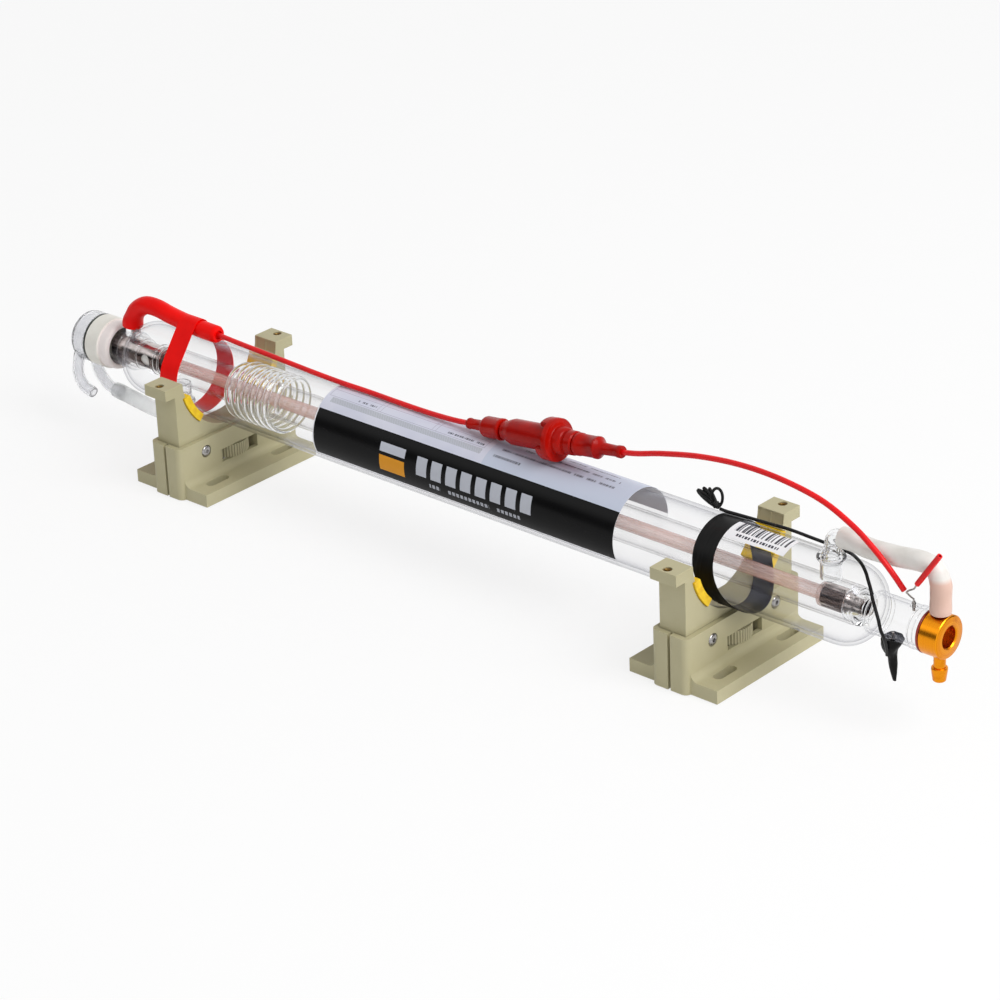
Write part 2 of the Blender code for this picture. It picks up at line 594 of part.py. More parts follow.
def build_output_end():
    """The gold water-cooled head with its window, gasket and two barbs."""
    seat = WINDOW_THICKNESS + GAP
    mouth = HEAD_FACE
    edge = 0.3 * MM
    profile = [(HEAD_REAR, WINDOW_RADIUS + GAP), (HEAD_REAR, HEAD_RADIUS), (mouth - edge, HEAD_RADIUS),
               (mouth, HEAD_RADIUS - edge), (mouth, BEAM_BORE_RADIUS + BEAM_CHAMFER),
               (mouth - BEAM_CHAMFER, BEAM_BORE_RADIUS), (HEAD_REAR + seat, BEAM_BORE_RADIUS),
               (HEAD_REAR + seat, WINDOW_RADIUS + GAP)]
    head = add_object("output_head", turned(profile, "X", (0, 0, AXIS_Z), 36), gold)
    spigot_radius = BARB_ROOT_RADIUS - 0.5 * MM + GAP
    depth = 2.0 * MM + GAP
    barb_foot = HEAD_RADIUS + 0.1 * MM
    top_hole = rod(spigot_radius, AXIS_Z + barb_foot - depth, AXIS_Z + 2 * HEAD_RADIUS, "Z", (HEAD_BARB_X, 0, 0), 12)
    cut(head, top_hole, "outlet_barb_hole")
    low_hole = rod(spigot_radius, AXIS_Z - 2 * HEAD_RADIUS, AXIS_Z - barb_foot + depth, "Z", (HEAD_BARB_X, 0, 0), 12)
    cut(head, low_hole, "inlet_barb_hole")

    gold_barb = turned(barb_profile(AXIS_Z - barb_foot - GAP, -1), "Z", (HEAD_BARB_X, 0, 0), 14)
    add_object("inlet_barb", gold_barb, gold)
    gold_barb = turned(barb_profile(AXIS_Z + barb_foot + GAP, 1), "Z", (HEAD_BARB_X, 0, 0), 14)
    add_object("outlet_barb", gold_barb, gold)

    window_rear = HEAD_REAR + 0.1 * MM
    add_object("output_window", rod(WINDOW_RADIUS, window_rear, window_rear + WINDOW_THICKNESS, "X",
                                    (0, 0, AXIS_Z), 24), window_crystal)
    gasket_rear = FRONT_NECK_END + FIT
    inner = NECK_RADIUS - NECK_WALL
    profile = [(gasket_rear, inner), (gasket_rear, HEAD_RADIUS), (gasket_rear + GASKET_THICKNESS, HEAD_RADIUS),
               (gasket_rear + GASKET_THICKNESS, inner)]
    add_object("head_gasket", turned(profile, "X", (0, 0, AXIS_Z), 28), gasket_red)


def build_mirror_end():
    """The white adaptor, the mirror, the black seal and the glass water cap with its two nozzles."""
    bore = NECK_RADIUS + GAP
    mirror_seat = MIRROR_RADIUS + GAP
    seat_depth = 1.8 * MM
    edge = 2.0 * MM
    profile = [(ADAPTOR_REAR, mirror_seat), (ADAPTOR_REAR, ADAPTOR_RADIUS), (ADAPTOR_STEP, ADAPTOR_RADIUS),
               (ADAPTOR_STEP, ADAPTOR_STEP_RADIUS), (ADAPTOR_FRONT - edge, ADAPTOR_STEP_RADIUS),
               (ADAPTOR_FRONT, ADAPTOR_STEP_RADIUS - edge), (ADAPTOR_FRONT, bore + 0.6 * MM),
               (ADAPTOR_FRONT - 0.6 * MM, bore), (ADAPTOR_REAR + seat_depth, bore),
               (ADAPTOR_REAR + seat_depth, mirror_seat)]
    add_object("rear_adaptor", turned(profile, "X", (0, 0, AXIS_Z), 28), ceramic)

    mirror_front = REAR_NECK_END - GAP
    add_object("rear_mirror", rod(MIRROR_RADIUS, mirror_front - MIRROR_THICKNESS, mirror_front, "X",
                                  (0, 0, AXIS_Z), 24), mirror_coat)
    inner = CAP_RADIUS - CAP_WALL
    profile = [(SEAL_REAR, inner), (SEAL_REAR, ADAPTOR_RADIUS), (SEAL_FRONT, ADAPTOR_RADIUS), (SEAL_FRONT, inner)]
    add_object("cap_seal", turned(profile, "X", (0, 0, AXIS_Z), 28), seal_rubber)

    mouth = CAP_MOUTH
    rear = CAP_REAR
    corner = 2.0 * MM
    outer = [(rear, 0.0)] + [(rear + corner - a, r) for a, r in
                             arc((0.0, CAP_RADIUS - corner), corner, 0, 90, 3)]
    profile = outer + [(mouth, CAP_RADIUS), (mouth, CAP_RADIUS - CAP_WALL),
                       (rear + CAP_WALL, CAP_RADIUS - CAP_WALL), (rear + CAP_WALL, 0.0)]
    cap = add_object("rear_cap", turned(profile, "X", (0, 0, AXIS_Z), 28), cap_glass)

    free_nozzle = smooth_route(placed(rear, [(6, -12, -5), (5.3, -14, -11), (4.3, -15, -22), (9, -15, -30.5),
                                             (18, -15, -33.2)]), 4.6 * MM)
    fed_nozzle = smooth_route(placed(rear, [(6, 0, -11), (6.3, 0, -19), (9.5, 0, -27), (17.5, 0, -33.5),
                                            (29.5, 0, -35.4)]), 5.0 * MM)
    for name, route in (("free_nozzle", free_nozzle), ("fed_nozzle", fed_nozzle)):
        join(cap, swept(route, [NOZZLE_RADIUS] * len(route), 10), name)
    hollow = rod(CAP_RADIUS - CAP_WALL, rear + CAP_WALL, mouth + MM, "X", (0, 0, AXIS_Z), 28)
    cut(cap, hollow, "cap_hollow")
    for name, route in (("free_nozzle_bore", free_nozzle), ("fed_nozzle_bore", fed_nozzle)):
        longer = [route[0] + Vector((0, 0, 3 * MM))] + route[1:]
        longer.append(route[-1] * 2 - route[-2])
        cut(cap, swept(longer, [NOZZLE_BORE_RADIUS] * len(longer), 6), name)


def nipple(name, x, side, turn):
    """A glass water nipple: a stem from the jacket, a flare on the barrel and an elbow."""
    surface = AXIS_Z + side * TUBE_RADIUS
    rise = 14.3 * MM if side > 0 else 13.5 * MM
    elbow = [Vector((x, 0, surface - side * 2.6 * MM)), Vector((x, 0, surface + side * 1.0 * MM)),
             Vector((x, 0, surface + side * 3.6 * MM)), Vector((x, 0, surface + side * 7.0 * MM)),
             Vector((x + turn * 1.0 * MM, 0, surface + side * (rise - 3.6 * MM))),
             Vector((x + turn * 3.4 * MM, 0, surface + side * (rise - 1.2 * MM))),
             Vector((x + turn * 6.6 * MM, 0, surface + side * rise)),
             Vector((x + turn * 11.0 * MM, 0, surface + side * rise)),
             Vector((x + turn * 15.0 * MM, 0, surface + side * rise))]
    flare = NIPPLE_FLARE_RADIUS
    tube = NIPPLE_TUBE_RADIUS
    radii = [flare, flare, flare - 2.2 * MM, tube + 0.4 * MM, tube, tube, tube, tube, tube - 0.2 * MM]
    made = add_object(name, swept(elbow, radii, 12), glass)
    cut(made, envelope_clearance(), name + "_saddle")
    jacket = AXIS_Z + side * (JACKET_RADIUS + GAP)
    stem_low, stem_high = sorted((jacket, surface + side * 2.0 * MM))
    join(made, rod(NIPPLE_STEM_RADIUS, stem_low, stem_high, "Z", (x, 0, 0), 14), name + "_stem")
    way = [Vector((x, 0, AXIS_Z))] + elbow[3:] + [elbow[-1] + Vector((turn * 3 * MM, 0, 0))]
    cut(made, swept(way, [NIPPLE_BORE_RADIUS] * len(way), 8), name + "_bore")


def build_water_parts():
    """The two nipples on the barrel and the two hoses that carry the cooling water round."""
    nipple("front_nipple", FRONT_NIPPLE_X, 1, 1)
    nipple("rear_nipple", REAR_NIPPLE_X, -1, -1)

    hose_z = TUBE_TOP + 14.3 * MM
    barb_end = AXIS_Z + HEAD_RADIUS + BARB_ROOT_LENGTH
    output_route = smooth_route([
        (FRONT_NIPPLE_X + 7.2 * MM, 0, hose_z), (FRONT_NIPPLE_X + 16 * MM, 0, hose_z),
        (FRONT_NIPPLE_X + 27 * MM, 0, hose_z - 1.2 * MM), (FRONT_NIPPLE_X + 45 * MM, 0, hose_z - 0.2 * MM),
        (HEAD_BARB_X - 12.5 * MM, 0, hose_z + 1.8 * MM), (HEAD_BARB_X - 3.5 * MM, 0, hose_z - 0.6 * MM),
        (HEAD_BARB_X, 0, hose_z - 9.0 * MM), (HEAD_BARB_X, 0, barb_end + 8.0 * MM),
        (HEAD_BARB_X, 0, AXIS_Z + HEAD_RADIUS + 0.7 * MM)], 6.2 * MM)
    stops = [(0.0, OUTPUT_HOSE_FLARE), (0.14, OUTPUT_HOSE_RADIUS), (0.72, OUTPUT_HOSE_RADIUS),
             (0.86, OUTPUT_HOSE_FLARE), (1.0, OUTPUT_HOSE_FLARE)]
    add_object("output_hose", swept(output_route, taper(output_route, stops), 12,
                                    BARB_RIDGE_RADIUS + GAP), hose_white)

    elbow_z = AXIS_Z - TUBE_RADIUS - 13.5 * MM
    rear_route = smooth_route([(REAR_NIPPLE_X - 7.5 * MM, 0, elbow_z), (REAR_NIPPLE_X - 16 * MM, 0, elbow_z)]
                              + placed(CAP_REAR, [(60.5, 0, -38.6), (48.5, 0, -37.6), (35.5, 0, -36),
                                                  (29.5, 0, -35.4), (23.5, 0, -34.8)]), 7.5 * MM)
    add_object("rear_hose", swept(rear_route, [REAR_HOSE_RADIUS] * len(rear_route), 12,
                                  NIPPLE_TUBE_RADIUS + GAP), hose_clear)


def build_anode_boot():
    """The red silicone boot over the anode pin, and the strap that holds it to the barrel."""
    route = smooth_route([(ANODE_PIN_X, 0, AXIS_Z + NECK_RADIUS - 2 * MM)]
                         + placed(ANODE_PIN_X, [(0, 0, 15), (1.5, 0, 21.5), (6, 0, 30), (15, 0, 36), (26, 0, 36.8),
                                                (38.4, 0, 34.9), (53, 0, 33.4), (65.7, 0, 32.5), (83, 0, 32.3)]),
                         5.4 * MM)
    stops = [(0.0, 7.0 * MM), (0.12, 6.2 * MM), (0.5, 5.9 * MM), (0.6, 5.2 * MM), (0.75, 5.1 * MM),
             (0.85, 5.5 * MM), (0.96, 5.6 * MM), (1.0, 4.9 * MM)]
    boot = add_object("anode_boot", swept(route, taper(route, stops), 12), red_silicone)
    cut(boot, envelope_clearance(), "boot_saddle")
    cut(boot, rod(PIN_RADIUS + GAP, AXIS_Z, AXIS_Z + NECK_RADIUS + 7.5 * MM, "Z", (ANODE_PIN_X, 0, 0), 8),
        "boot_pin_hole")

    # The strap runs round the barrel and up over the boot.
    boot_z = AXIS_Z + 33.3 * MM
    boot_clear = 5.9 * MM

    def strap_outline(tube_radius, boot_radius):
        return two_circle_outline((0.0, AXIS_Z), tube_radius, (0.0, boot_z), boot_radius, 20, 8)

    outer = prism(strap_outline(WRAP_INNER + STRAP_THICKNESS, boot_clear + STRAP_THICKNESS),
                  STRAP_REAR, STRAP_FRONT, "YZX")
    strap = add_object("boot_strap", outer, red_silicone)
    cut(strap, prism(strap_outline(WRAP_INNER, boot_clear), STRAP_REAR - MM, STRAP_FRONT + MM, "YZX"),
        "strap_inside")


def build_wraps():
    """The printed label, the small sticker and the slanting black tape band round the barrel."""
    wrap("label_wrap", LABEL_REAR, LABEL_FRONT, LABEL_START_DEG, LABEL_END_DEG, label_print, 24)
    wrap("serial_sticker", STICKER_REAR, STICKER_FRONT, STICKER_START_DEG, STICKER_END_DEG, sticker_paper, 6)

    # The band hangs forward under the barrel, clear of the cradle.
    bm = bmesh.new()
    steps = 36
    rings = []
    for i in range(steps):
        angle = 2 * math.pi * i / steps
        low = 0.5 + 0.5 * math.cos(angle + math.pi / 2)
        middle = BAND_TOP_X + BAND_SAG * low ** 2.2
        ring = []
        for along, radius in ((-0.5, 0.0), (0.5, 0.0), (0.5, BAND_THICKNESS), (-0.5, BAND_THICKNESS)):
            reach = WRAP_INNER + radius
            ring.append(bm.verts.new((middle + along * BAND_WIDTH, reach * math.cos(angle),
                                      AXIS_Z + reach * math.sin(angle))))
        rings.append(ring)
    for i in range(steps):
        first = rings[i]
        second = rings[(i + 1) % steps]
        for k in range(4):
            n = (k + 1) % 4
            bm.faces.new((first[k], first[n], second[n], second[k]))
    add_object("tape_band", bm, black_tape)


def connector_piece(name, profile, material, start, direction, segments=16):
    """A turned piece on the connector's sloping axis."""
    bm = turned(profile, "X", (0, 0, 0), segments)
    turn = Vector((1, 0, 0)).rotation_difference(direction).to_matrix().to_4x4()
    bmesh.ops.transform(bm, matrix=Matrix.Translation(start) @ turn, verts=bm.verts)
    return add_object(name, bm, material)


def build_leads():
    """The red high-voltage lead with its in-line connector, and the black cathode lead."""
    start = Vector((-4.0 * MM, 0, AXIS_Z + 30.6 * MM))
    end = Vector((118.8 * MM, 0, AXIS_Z + 46.1 * MM))
    direction = (end - start).normalized()
    length = (end - start).length
    relief = 3.2 * MM
    sleeve = 6.6 * MM
    lead_hole = HV_LEAD_RADIUS + GAP
    edge = 0.5 * MM
    rear = [(0.0, lead_hole), (0.0, relief - edge), (edge, relief), (12.0 * MM, relief), (15.0 * MM, sleeve),
            (28.5 * MM, sleeve), (29.2 * MM, sleeve - edge), (29.2 * MM, 6.0 * MM), (30.0 * MM, 0.0),
            (8.0 * MM, 0.0), (8.0 * MM, lead_hole)]
    connector_piece("hv_plug_boot", rear, red_plastic, start, direction)
    flange = 74.0 * MM
    body = [(30.3 * MM, 0.0), (30.3 * MM, 6.0 * MM), (35.0 * MM, 6.0 * MM), (35.0 * MM, 7.0 * MM),
            (38.0 * MM, 8.1 * MM), (flange - 4.0 * MM, 8.1 * MM), (flange - 4.0 * MM, 13.3 * MM),
            (flange, 13.3 * MM), (flange, 8.4 * MM), (flange + 6.0 * MM, 8.4 * MM),
            (flange + 8.0 * MM, 7.4 * MM), (88.0 * MM, 7.4 * MM), (88.0 * MM, 0.0)]
    coupler = connector_piece("hv_coupler", body, red_plastic, start, direction, 20)
    lug_centre = start + direction * (flange - 6.2 * MM)
    for k, angle_deg in enumerate((90, 210, 330)):
        lug = prism(arc((0, 0), 12.5 * MM, angle_deg - 22, angle_deg + 22, 4)
                    + arc((0, 0), 10.2 * MM, angle_deg + 22, angle_deg - 22, 4), -3.2 * MM, 3.6 * MM, "YZX")
        turn = Vector((1, 0, 0)).rotation_difference(direction).to_matrix().to_4x4()
        bmesh.ops.transform(lug, matrix=Matrix.Translation(lug_centre) @ turn, verts=lug.verts)
        join(coupler, lug, "coupler_lug_%d" % k)
    front = [(88.3 * MM, 0.0), (88.3 * MM, sleeve - edge), (88.8 * MM, sleeve), (105.0 * MM, sleeve),
             (108.5 * MM, relief + 0.4 * MM), (length - edge, relief + 0.2 * MM), (length, relief - 0.2 * MM),
             (length, lead_hole), (length - 8.0 * MM, lead_hole), (length - 8.0 * MM, 0.0)]
    connector_piece("hv_socket_boot", front, red_plastic, start, direction)

    entry = start + direction * 7.7 * MM
    stretch = (start.x - ANODE_PIN_X - 83.4 * MM) / (217.6 * MM)
    rear_run = placed(start.x, [(-217.6, 0, 32.3), (-198.5, 0, 31.4), (-176, 0, 30.6), (-153, 0, 29.7),
                                (-131, 0.3, 28.7), (-109, 0.8, 27.9), (-86, 1.2, 27.8), (-61, 0.8, 27.8),
                                (-36, 0.5, 28), (-15, 0.2, 29)], stretch)
    cord("hv_lead_rear", rear_run + [start - direction * 1 * MM, entry], HV_LEAD_RADIUS, red_insulation, 9.5 * MM)
    leave = start + direction * (length - 7.7 * MM)
    # The arch leans over the front of the output hose on its way down to the neck.
    stretch = (NECK_PIN_X - 2.4 * MM - end.x) / (206.0 * MM)
    arch = placed(end.x, [(12.2, 0, 48.7), (29.2, 0, 53.6), (57.8, -0.6, 60.2), (88.6, -1.9, 64.3),
                          (118.7, -3.6, 64.8), (148.6, -5.3, 61.1), (171.6, -6.9, 52.7), (186.2, -7.8, 43.9),
                          (193.7, -8.6, 38.6), (199.8, -8, 32.4), (206, -5.9, 23.2)], stretch)
    cord("hv_lead_front", [leave, end + direction * 1 * MM] + arch, HV_LEAD_RADIUS, red_insulation, 9.5 * MM)

    # The stripped strand runs from the neck pin past the lead's end to the insulation pushed along it.
    stub_low, stub_high = [Vector(point) for point in placed(NECK_PIN_X, [(8.3, -9, 31.6), (23, -9, 53.6)])]
    stub_line = (stub_high - stub_low).normalized()
    strand = smooth_route([(NECK_PIN_X, 0, AXIS_Z + NECK_RADIUS + 3.7 * MM)]
                          + placed(NECK_PIN_X, [(-0.2, -2.4, 18.4), (-0.8, -4.8, 21.2), (-0.6, -6.3, 22.8),
                                                (1.7, -6.9, 25), (5.4, -8, 27.5), (7.6, -9, 30.5)])
                          + [stub_low + stub_line * 2 * MM], 2.0 * MM)
    add_object("lead_strand", swept(strand, [STRAND_RADIUS] * len(strand), 6), tinned_wire)
    stub = [stub_low, stub_low.lerp(stub_high, 0.5), stub_high]
    add_object("lead_stub", swept(stub, [HV_LEAD_RADIUS] * 3, 10, STRAND_RADIUS + GAP), red_insulation)

    # A black heat-shrink cone covers the cathode pin.
    neck_bottom = AXIS_Z - NECK_RADIUS
    x = CATHODE_PIN_X
    cone = smooth_route([(x, 0, neck_bottom + 1.5 * MM), (x, 0, neck_bottom - 4 * MM)]
                        + placed(x, [(0, 0, -20.5), (0.2, 0, -25.4), (0.7, 0, -32), (1.5, 0, -39.4)]), 3.6 * MM)
    stops = [(0.0, 6.5 * MM), (0.08, 6.3 * MM), (0.5, 2.9 * MM), (0.6, 2.6 * MM), (1.0, 1.0 * MM)]
    cone_piece = add_object("cathode_boot", swept(cone, taper(cone, stops), 12), black_shrink)
    cut(cone_piece, envelope_clearance(), "cone_saddle")
    cut(cone_piece, rod(PIN_RADIUS + GAP, neck_bottom - 8.5 * MM, AXIS_Z, "Z", (x, 0, 0), 8), "cone_pin_hole")

    cathode_run = placed(FRONT, [(30.1, -5.5, -20.8), (32.6, -7.6, -15.2), (34, -12.5, -6.1), (32.9, -13.9, -1.5),
                                 (31.1, -13.5, 4), (27.5, -11.4, 8.6), (22.8, -7.8, 12.2), (19.4, -4.9, 16),
                                 (16.2, -3.2, 20.2), (13.2, -1.1, 23), (8.3, 1.8, 25.4), (2.5, 5, 26),
                                 (-3.8, 8.9, 25.2), (-11.8, 11.2, 24.6), (-19.8, 12.4, 24.2), (-35, 13.4, 24),
                                 (-52, 13.8, 24.2), (-67, 11.9, 24.8), (-83, 9.6, 25.6), (-92, 7.6, 26.6)])
    cord("cathode_lead", cathode_run, CATHODE_LEAD_RADIUS, black_insulation, 5.2 * MM)

    # The spare length is folded into a small bundle that leans back from its tie.
    loops = (FRONT - 105.6 * MM, AXIS_Z + 33.6 * MM)
    tie = (FRONT - 96.8 * MM, AXIS_Z + 27.5 * MM)
    bundle = two_circle_outline(loops, 4.7 * MM, tie, 2.4 * MM, 10, 5)
    hank = prism(bundle, 4.0 * MM, 10.0 * MM, "XZY")
    add_object("cathode_lead_hank", hank, black_insulation)


def stadium(centre_x, centre_y, length, width):
    """A slot outline with round ends, long in Y."""
    reach = 0.5 * (length - width)
    radius = 0.5 * width
    return (arc((centre_x, centre_y + reach), radius, 0, 180, 6)
            + arc((centre_x, centre_y - reach), radius, 180, 360, 6))


def base_half(name, side, parent):
    """One moulded half of the base: a wall with wrapped posts and a slotted foot. side is +1 or -1."""
    corner = POST_CORNER
    plan = [(HALF_SLIT, -POST_OUTER)]
    plan += arc((WALL_OUTER - corner, -POST_OUTER + corner), corner, -90, 0, 4)
    plan += arc((WALL_OUTER - corner, POST_OUTER - corner), corner, 0, 90, 4)
    plan += [(HALF_SLIT, POST_OUTER), (HALF_SLIT, CAVITY_HALF_WIDTH), (CAVITY_HALF, CAVITY_HALF_WIDTH),
             (CAVITY_HALF, -CAVITY_HALF_WIDTH), (HALF_SLIT, -CAVITY_HALF_WIDTH)]
    plan = [(side * x, y) for x, y in plan]
    half = add_object(name, prism(plan, 0.0, BASE_HEIGHT), beige_plastic, parent)

    root = WALL_OUTER - 0.5 * WALL_THICKNESS
    fillet = FOOT_FILLET
    foot = [(root, 0.0), (FOOT_HALF_DEPTH, 0.0), (FOOT_HALF_DEPTH, FOOT_THICKNESS)]
    foot += arc((WALL_OUTER + fillet, FOOT_THICKNESS + fillet), fillet, -90, -180, 4)
    foot += [(root, FOOT_THICKNESS + fillet)]
    foot = [(side * x, z) for x, z in foot]
    join(half, prism(foot, -FOOT_HALF_WIDTH, FOOT_HALF_WIDTH, "XZY"), name + "_foot")

    for y_sign in (-1, 1):
        slot = stadium(side * SLOT_X, y_sign * SLOT_Y, SLOT_LENGTH, SLOT_WIDTH)
        cut(half, prism(slot, -MM, FOOT_THICKNESS + MM), name + "_slot_%d" % y_sign)
        inside, outside = sorted((side * (CAVITY_HALF - MM), side * (WALL_OUTER + MM)))
        hole = rod(SCREW_RADIUS + GAP, inside, outside, "X", (0, y_sign * SCREW_Y, SCREW_Z), 12)
        cut(half, hole, name + "_hole_%d" % y_sign)
        if side > 0:
            sink = rod(SCREW_HEAD_RADIUS + GAP, WALL_OUTER - SCREW_SINK, WALL_OUTER + MM, "X",
                       (0, y_sign * SCREW_Y, SCREW_Z), 14)
            cut(half, sink, name + "_sink_%d" % y_sign)
    low_x, high_x = sorted((side * (CAVITY_HALF - MM), side * (WALL_OUTER + MM)))
    cut(half, block((low_x, -WINDOW_HALF, WINDOW_LOW), (high_x, WINDOW_HALF, WINDOW_HIGH)), name + "_window")


def cradle(name, parent):
    """The sliding cradle: a tongue in the base, two arms with ears, and a round seat."""
    seat_centre = SEAT_Z + CRADLE_SEAT_RADIUS
    lip_deg = math.degrees(math.asin((CRADLE_TOP - seat_centre) / CRADLE_SEAT_RADIUS))
    ear_low = CRADLE_TOP - EAR_THICKNESS
    notch_half = WHEEL_RADIUS + 1.5 * MM
    notch_top = WINDOW_HIGH + 0.7 * MM
    outline = arc((0.0, seat_centre), CRADLE_SEAT_RADIUS, 180 - lip_deg, 360 + lip_deg, 24)
    outline += [(EAR_OUTER, CRADLE_TOP), (EAR_OUTER, ear_low), (CRADLE_HALF_WIDTH, ear_low),
                (CRADLE_HALF_WIDTH, CRADLE_LEG_BOTTOM), (notch_half, CRADLE_LEG_BOTTOM), (notch_half, notch_top),
                (-notch_half, notch_top), (-notch_half, CRADLE_LEG_BOTTOM),
                (-CRADLE_HALF_WIDTH, CRADLE_LEG_BOTTOM), (-CRADLE_HALF_WIDTH, ear_low),
                (-EAR_OUTER, ear_low), (-EAR_OUTER, CRADLE_TOP)]
    half = CRADLE_HALF_THICKNESS
    made = add_object(name, prism(outline, -half, half, "YZX"), beige_plastic, parent)

    pocket = CRADLE_SEAT_RADIUS + PAD_POCKET
    for y_sign in (-1, 1):
        first = 270 + y_sign * (90 - PAD_END_DEG - 0.4)
        last = 270 + y_sign * (90 - PAD_START_DEG + 0.4)
        recess = (arc((0.0, seat_centre), pocket, first, last, 6)
                  + arc((0.0, seat_centre), CRADLE_SEAT_RADIUS - 2 * MM, last, first, 6))
        cut(made, prism(recess, -half - MM, half + MM, "YZX"), name + "_pocket_%d" % y_sign)
        slot_radius = SCREW_RADIUS + 0.6 * MM
        slot = (arc((y_sign * SCREW_Y, SCREW_Z), slot_radius, 0, 180, 5)
                + arc((y_sign * SCREW_Y, SCREW_Z - LIFT_TRAVEL), slot_radius, 180, 360, 5))
        cut(made, prism(slot, -half - MM, half + MM, "YZX"), name + "_screw_slot_%d" % y_sign)
        cut(made, rod(INSERT_RADIUS + GAP, ear_low - MM, CRADLE_TOP + MM, "Z", (0, y_sign * INSERT_Y, 0), 12),
            name + "_ear_hole_%d" % y_sign)
        # Two shallow recesses, with a rib between them, lighten the inside of each arm.
        for x_sign in (-1, 1):
            wide = sorted((x_sign * 0.5 * MM, x_sign * (half - 1.0 * MM)))
            deep = sorted((y_sign * (CRADLE_SEAT_RADIUS - 4 * MM), y_sign * (CRADLE_SEAT_RADIUS + ARM_RECESS)))
            recess_box = block((wide[0], deep[0], seat_centre - 9.6 * MM), (wide[1], deep[1], CRADLE_TOP - MM))
            cut(made, recess_box, name + "_arm_recess_%d_%d" % (y_sign, x_sign))
    cut(made, rod(STUD_RADIUS + GAP, notch_top - MM, STUD_TOP + GAP, "Z", (0, 0, 0), 14), name + "_stud_hole")


def thumbwheel(name, parent):
    """A knurled nut that turns in the base's windows and runs on the cradle's stud."""
    outline = []
    for k in range(WHEEL_TEETH):
        for share, depth in ((0.0, 0.0), (0.5, WHEEL_TOOTH)):
            angle = 2 * math.pi * (k + share) / WHEEL_TEETH
            radius = WHEEL_RADIUS - depth
            outline.append((radius * math.cos(angle), radius * math.sin(angle)))
    low = WINDOW_LOW + WHEEL_PLAY
    high = WINDOW_HIGH - WHEEL_PLAY
    wheel = add_object(name, prism(outline, low, high), beige_plastic, parent)
    cut(wheel, rod(STUD_RADIUS + GAP, low - MM, high + MM, "Z", (0, 0, 0), 14), name + "_thread")


def clamp_screw(name, y_sign, parent):
    """A button-head socket screw through both base halves and the cradle's slot."""
    head_top = WALL_OUTER - SCREW_SINK + GAP + SCREW_HEAD_HEIGHT
    head_low = WALL_OUTER - SCREW_SINK + GAP
    dome = 0.9 * MM
    profile = [(-WALL_OUTER + 0.5 * MM, 0.0), (-WALL_OUTER + 0.5 * MM, SCREW_RADIUS), (head_low, SCREW_RADIUS),
               (head_low, SCREW_HEAD_RADIUS), (head_top - dome, SCREW_HEAD_RADIUS),
               (head_top, SCREW_HEAD_RADIUS - dome), (head_top, 0.0)]
    screw = add_object(name, turned(profile, "X", (0, y_sign * SCREW_Y, SCREW_Z), 12), steel, parent)
    corner = HEX_ACROSS / math.sqrt(3)
    hexagon = [(y_sign * SCREW_Y + corner * math.cos(math.radians(60 * k)),
                SCREW_Z + corner * math.sin(math.radians(60 * k))) for k in range(6)]
    cut(screw, prism(hexagon, head_top - 1.4 * MM, head_top + MM, "YZX"), name + "_socket")


def build_support(prefix, x):
    """One height-adjustable support: two clamped base halves, a lifting nut and a padded cradle."""
    frame = bpy.data.objects.new(prefix + "_support_frame", None)
    bpy.context.collection.objects.link(frame)
    frame.location = (x, 0, 0)
    base_half(prefix + "_base_front", 1, frame)
    base_half(prefix + "_base_back", -1, frame)
    cradle(prefix + "_cradle", frame)
    thumbwheel(prefix + "_thumbwheel", frame)
    stud = rod(STUD_RADIUS, CRADLE_LEG_BOTTOM, STUD_TOP, "Z", (0, 0, 0), 14)
    add_object(prefix + "_lift_stud", stud, steel, frame)

    seat_centre = SEAT_Z + CRADLE_SEAT_RADIUS
    outer = CRADLE_SEAT_RADIUS + PAD_POCKET - GAP
    reach = CRADLE_HALF_THICKNESS + PAD_PROUD
    for word, y_sign in (("left", -1), ("right", 1)):
        clamp_screw("%s_clamp_screw_%s" % (prefix, word), y_sign, frame)
        first = 270 + y_sign * (90 - PAD_END_DEG)
        last = 270 + y_sign * (90 - PAD_START_DEG)
        pad = (arc((0.0, seat_centre), outer, first, last, 6)
               + arc((0.0, seat_centre), outer - PAD_THICKNESS, last, first, 6))
        add_object("%s_pad_%s" % (prefix, word), prism(pad, -reach, reach, "YZX"), yellow_rubber, frame)
        ear_low = CRADLE_TOP - EAR_THICKNESS
        bush = [(ear_low + GAP, INSERT_BORE_RADIUS), (ear_low + GAP, INSERT_RADIUS),
                (CRADLE_TOP - INSERT_SINK, INSERT_RADIUS), (CRADLE_TOP - INSERT_SINK, INSERT_BORE_RADIUS)]
        add_object("%s_insert_%s" % (prefix, word), turned(bush, "Z", (0, y_sign * INSERT_Y, 0), 12), brass, frame)


clear_scene()
build_outer_tube()
build_inner_glass()
build_electrodes()
build_output_end()
build_mirror_end()
build_water_parts()
build_anode_boot()
build_wraps()
build_leads()
for support_name, support_x in SUPPORT_X.items():
    build_support(support_name, support_x)
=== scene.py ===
"""The looks of a sealed glass gas laser tube that lies in two padded, height-adjustable supports.

Everything is in metres, in the CAD's own frame: +X towards the gold output head, +Z up.
"""

import math

import bmesh
import bpy
from mathutils import Matrix, Vector


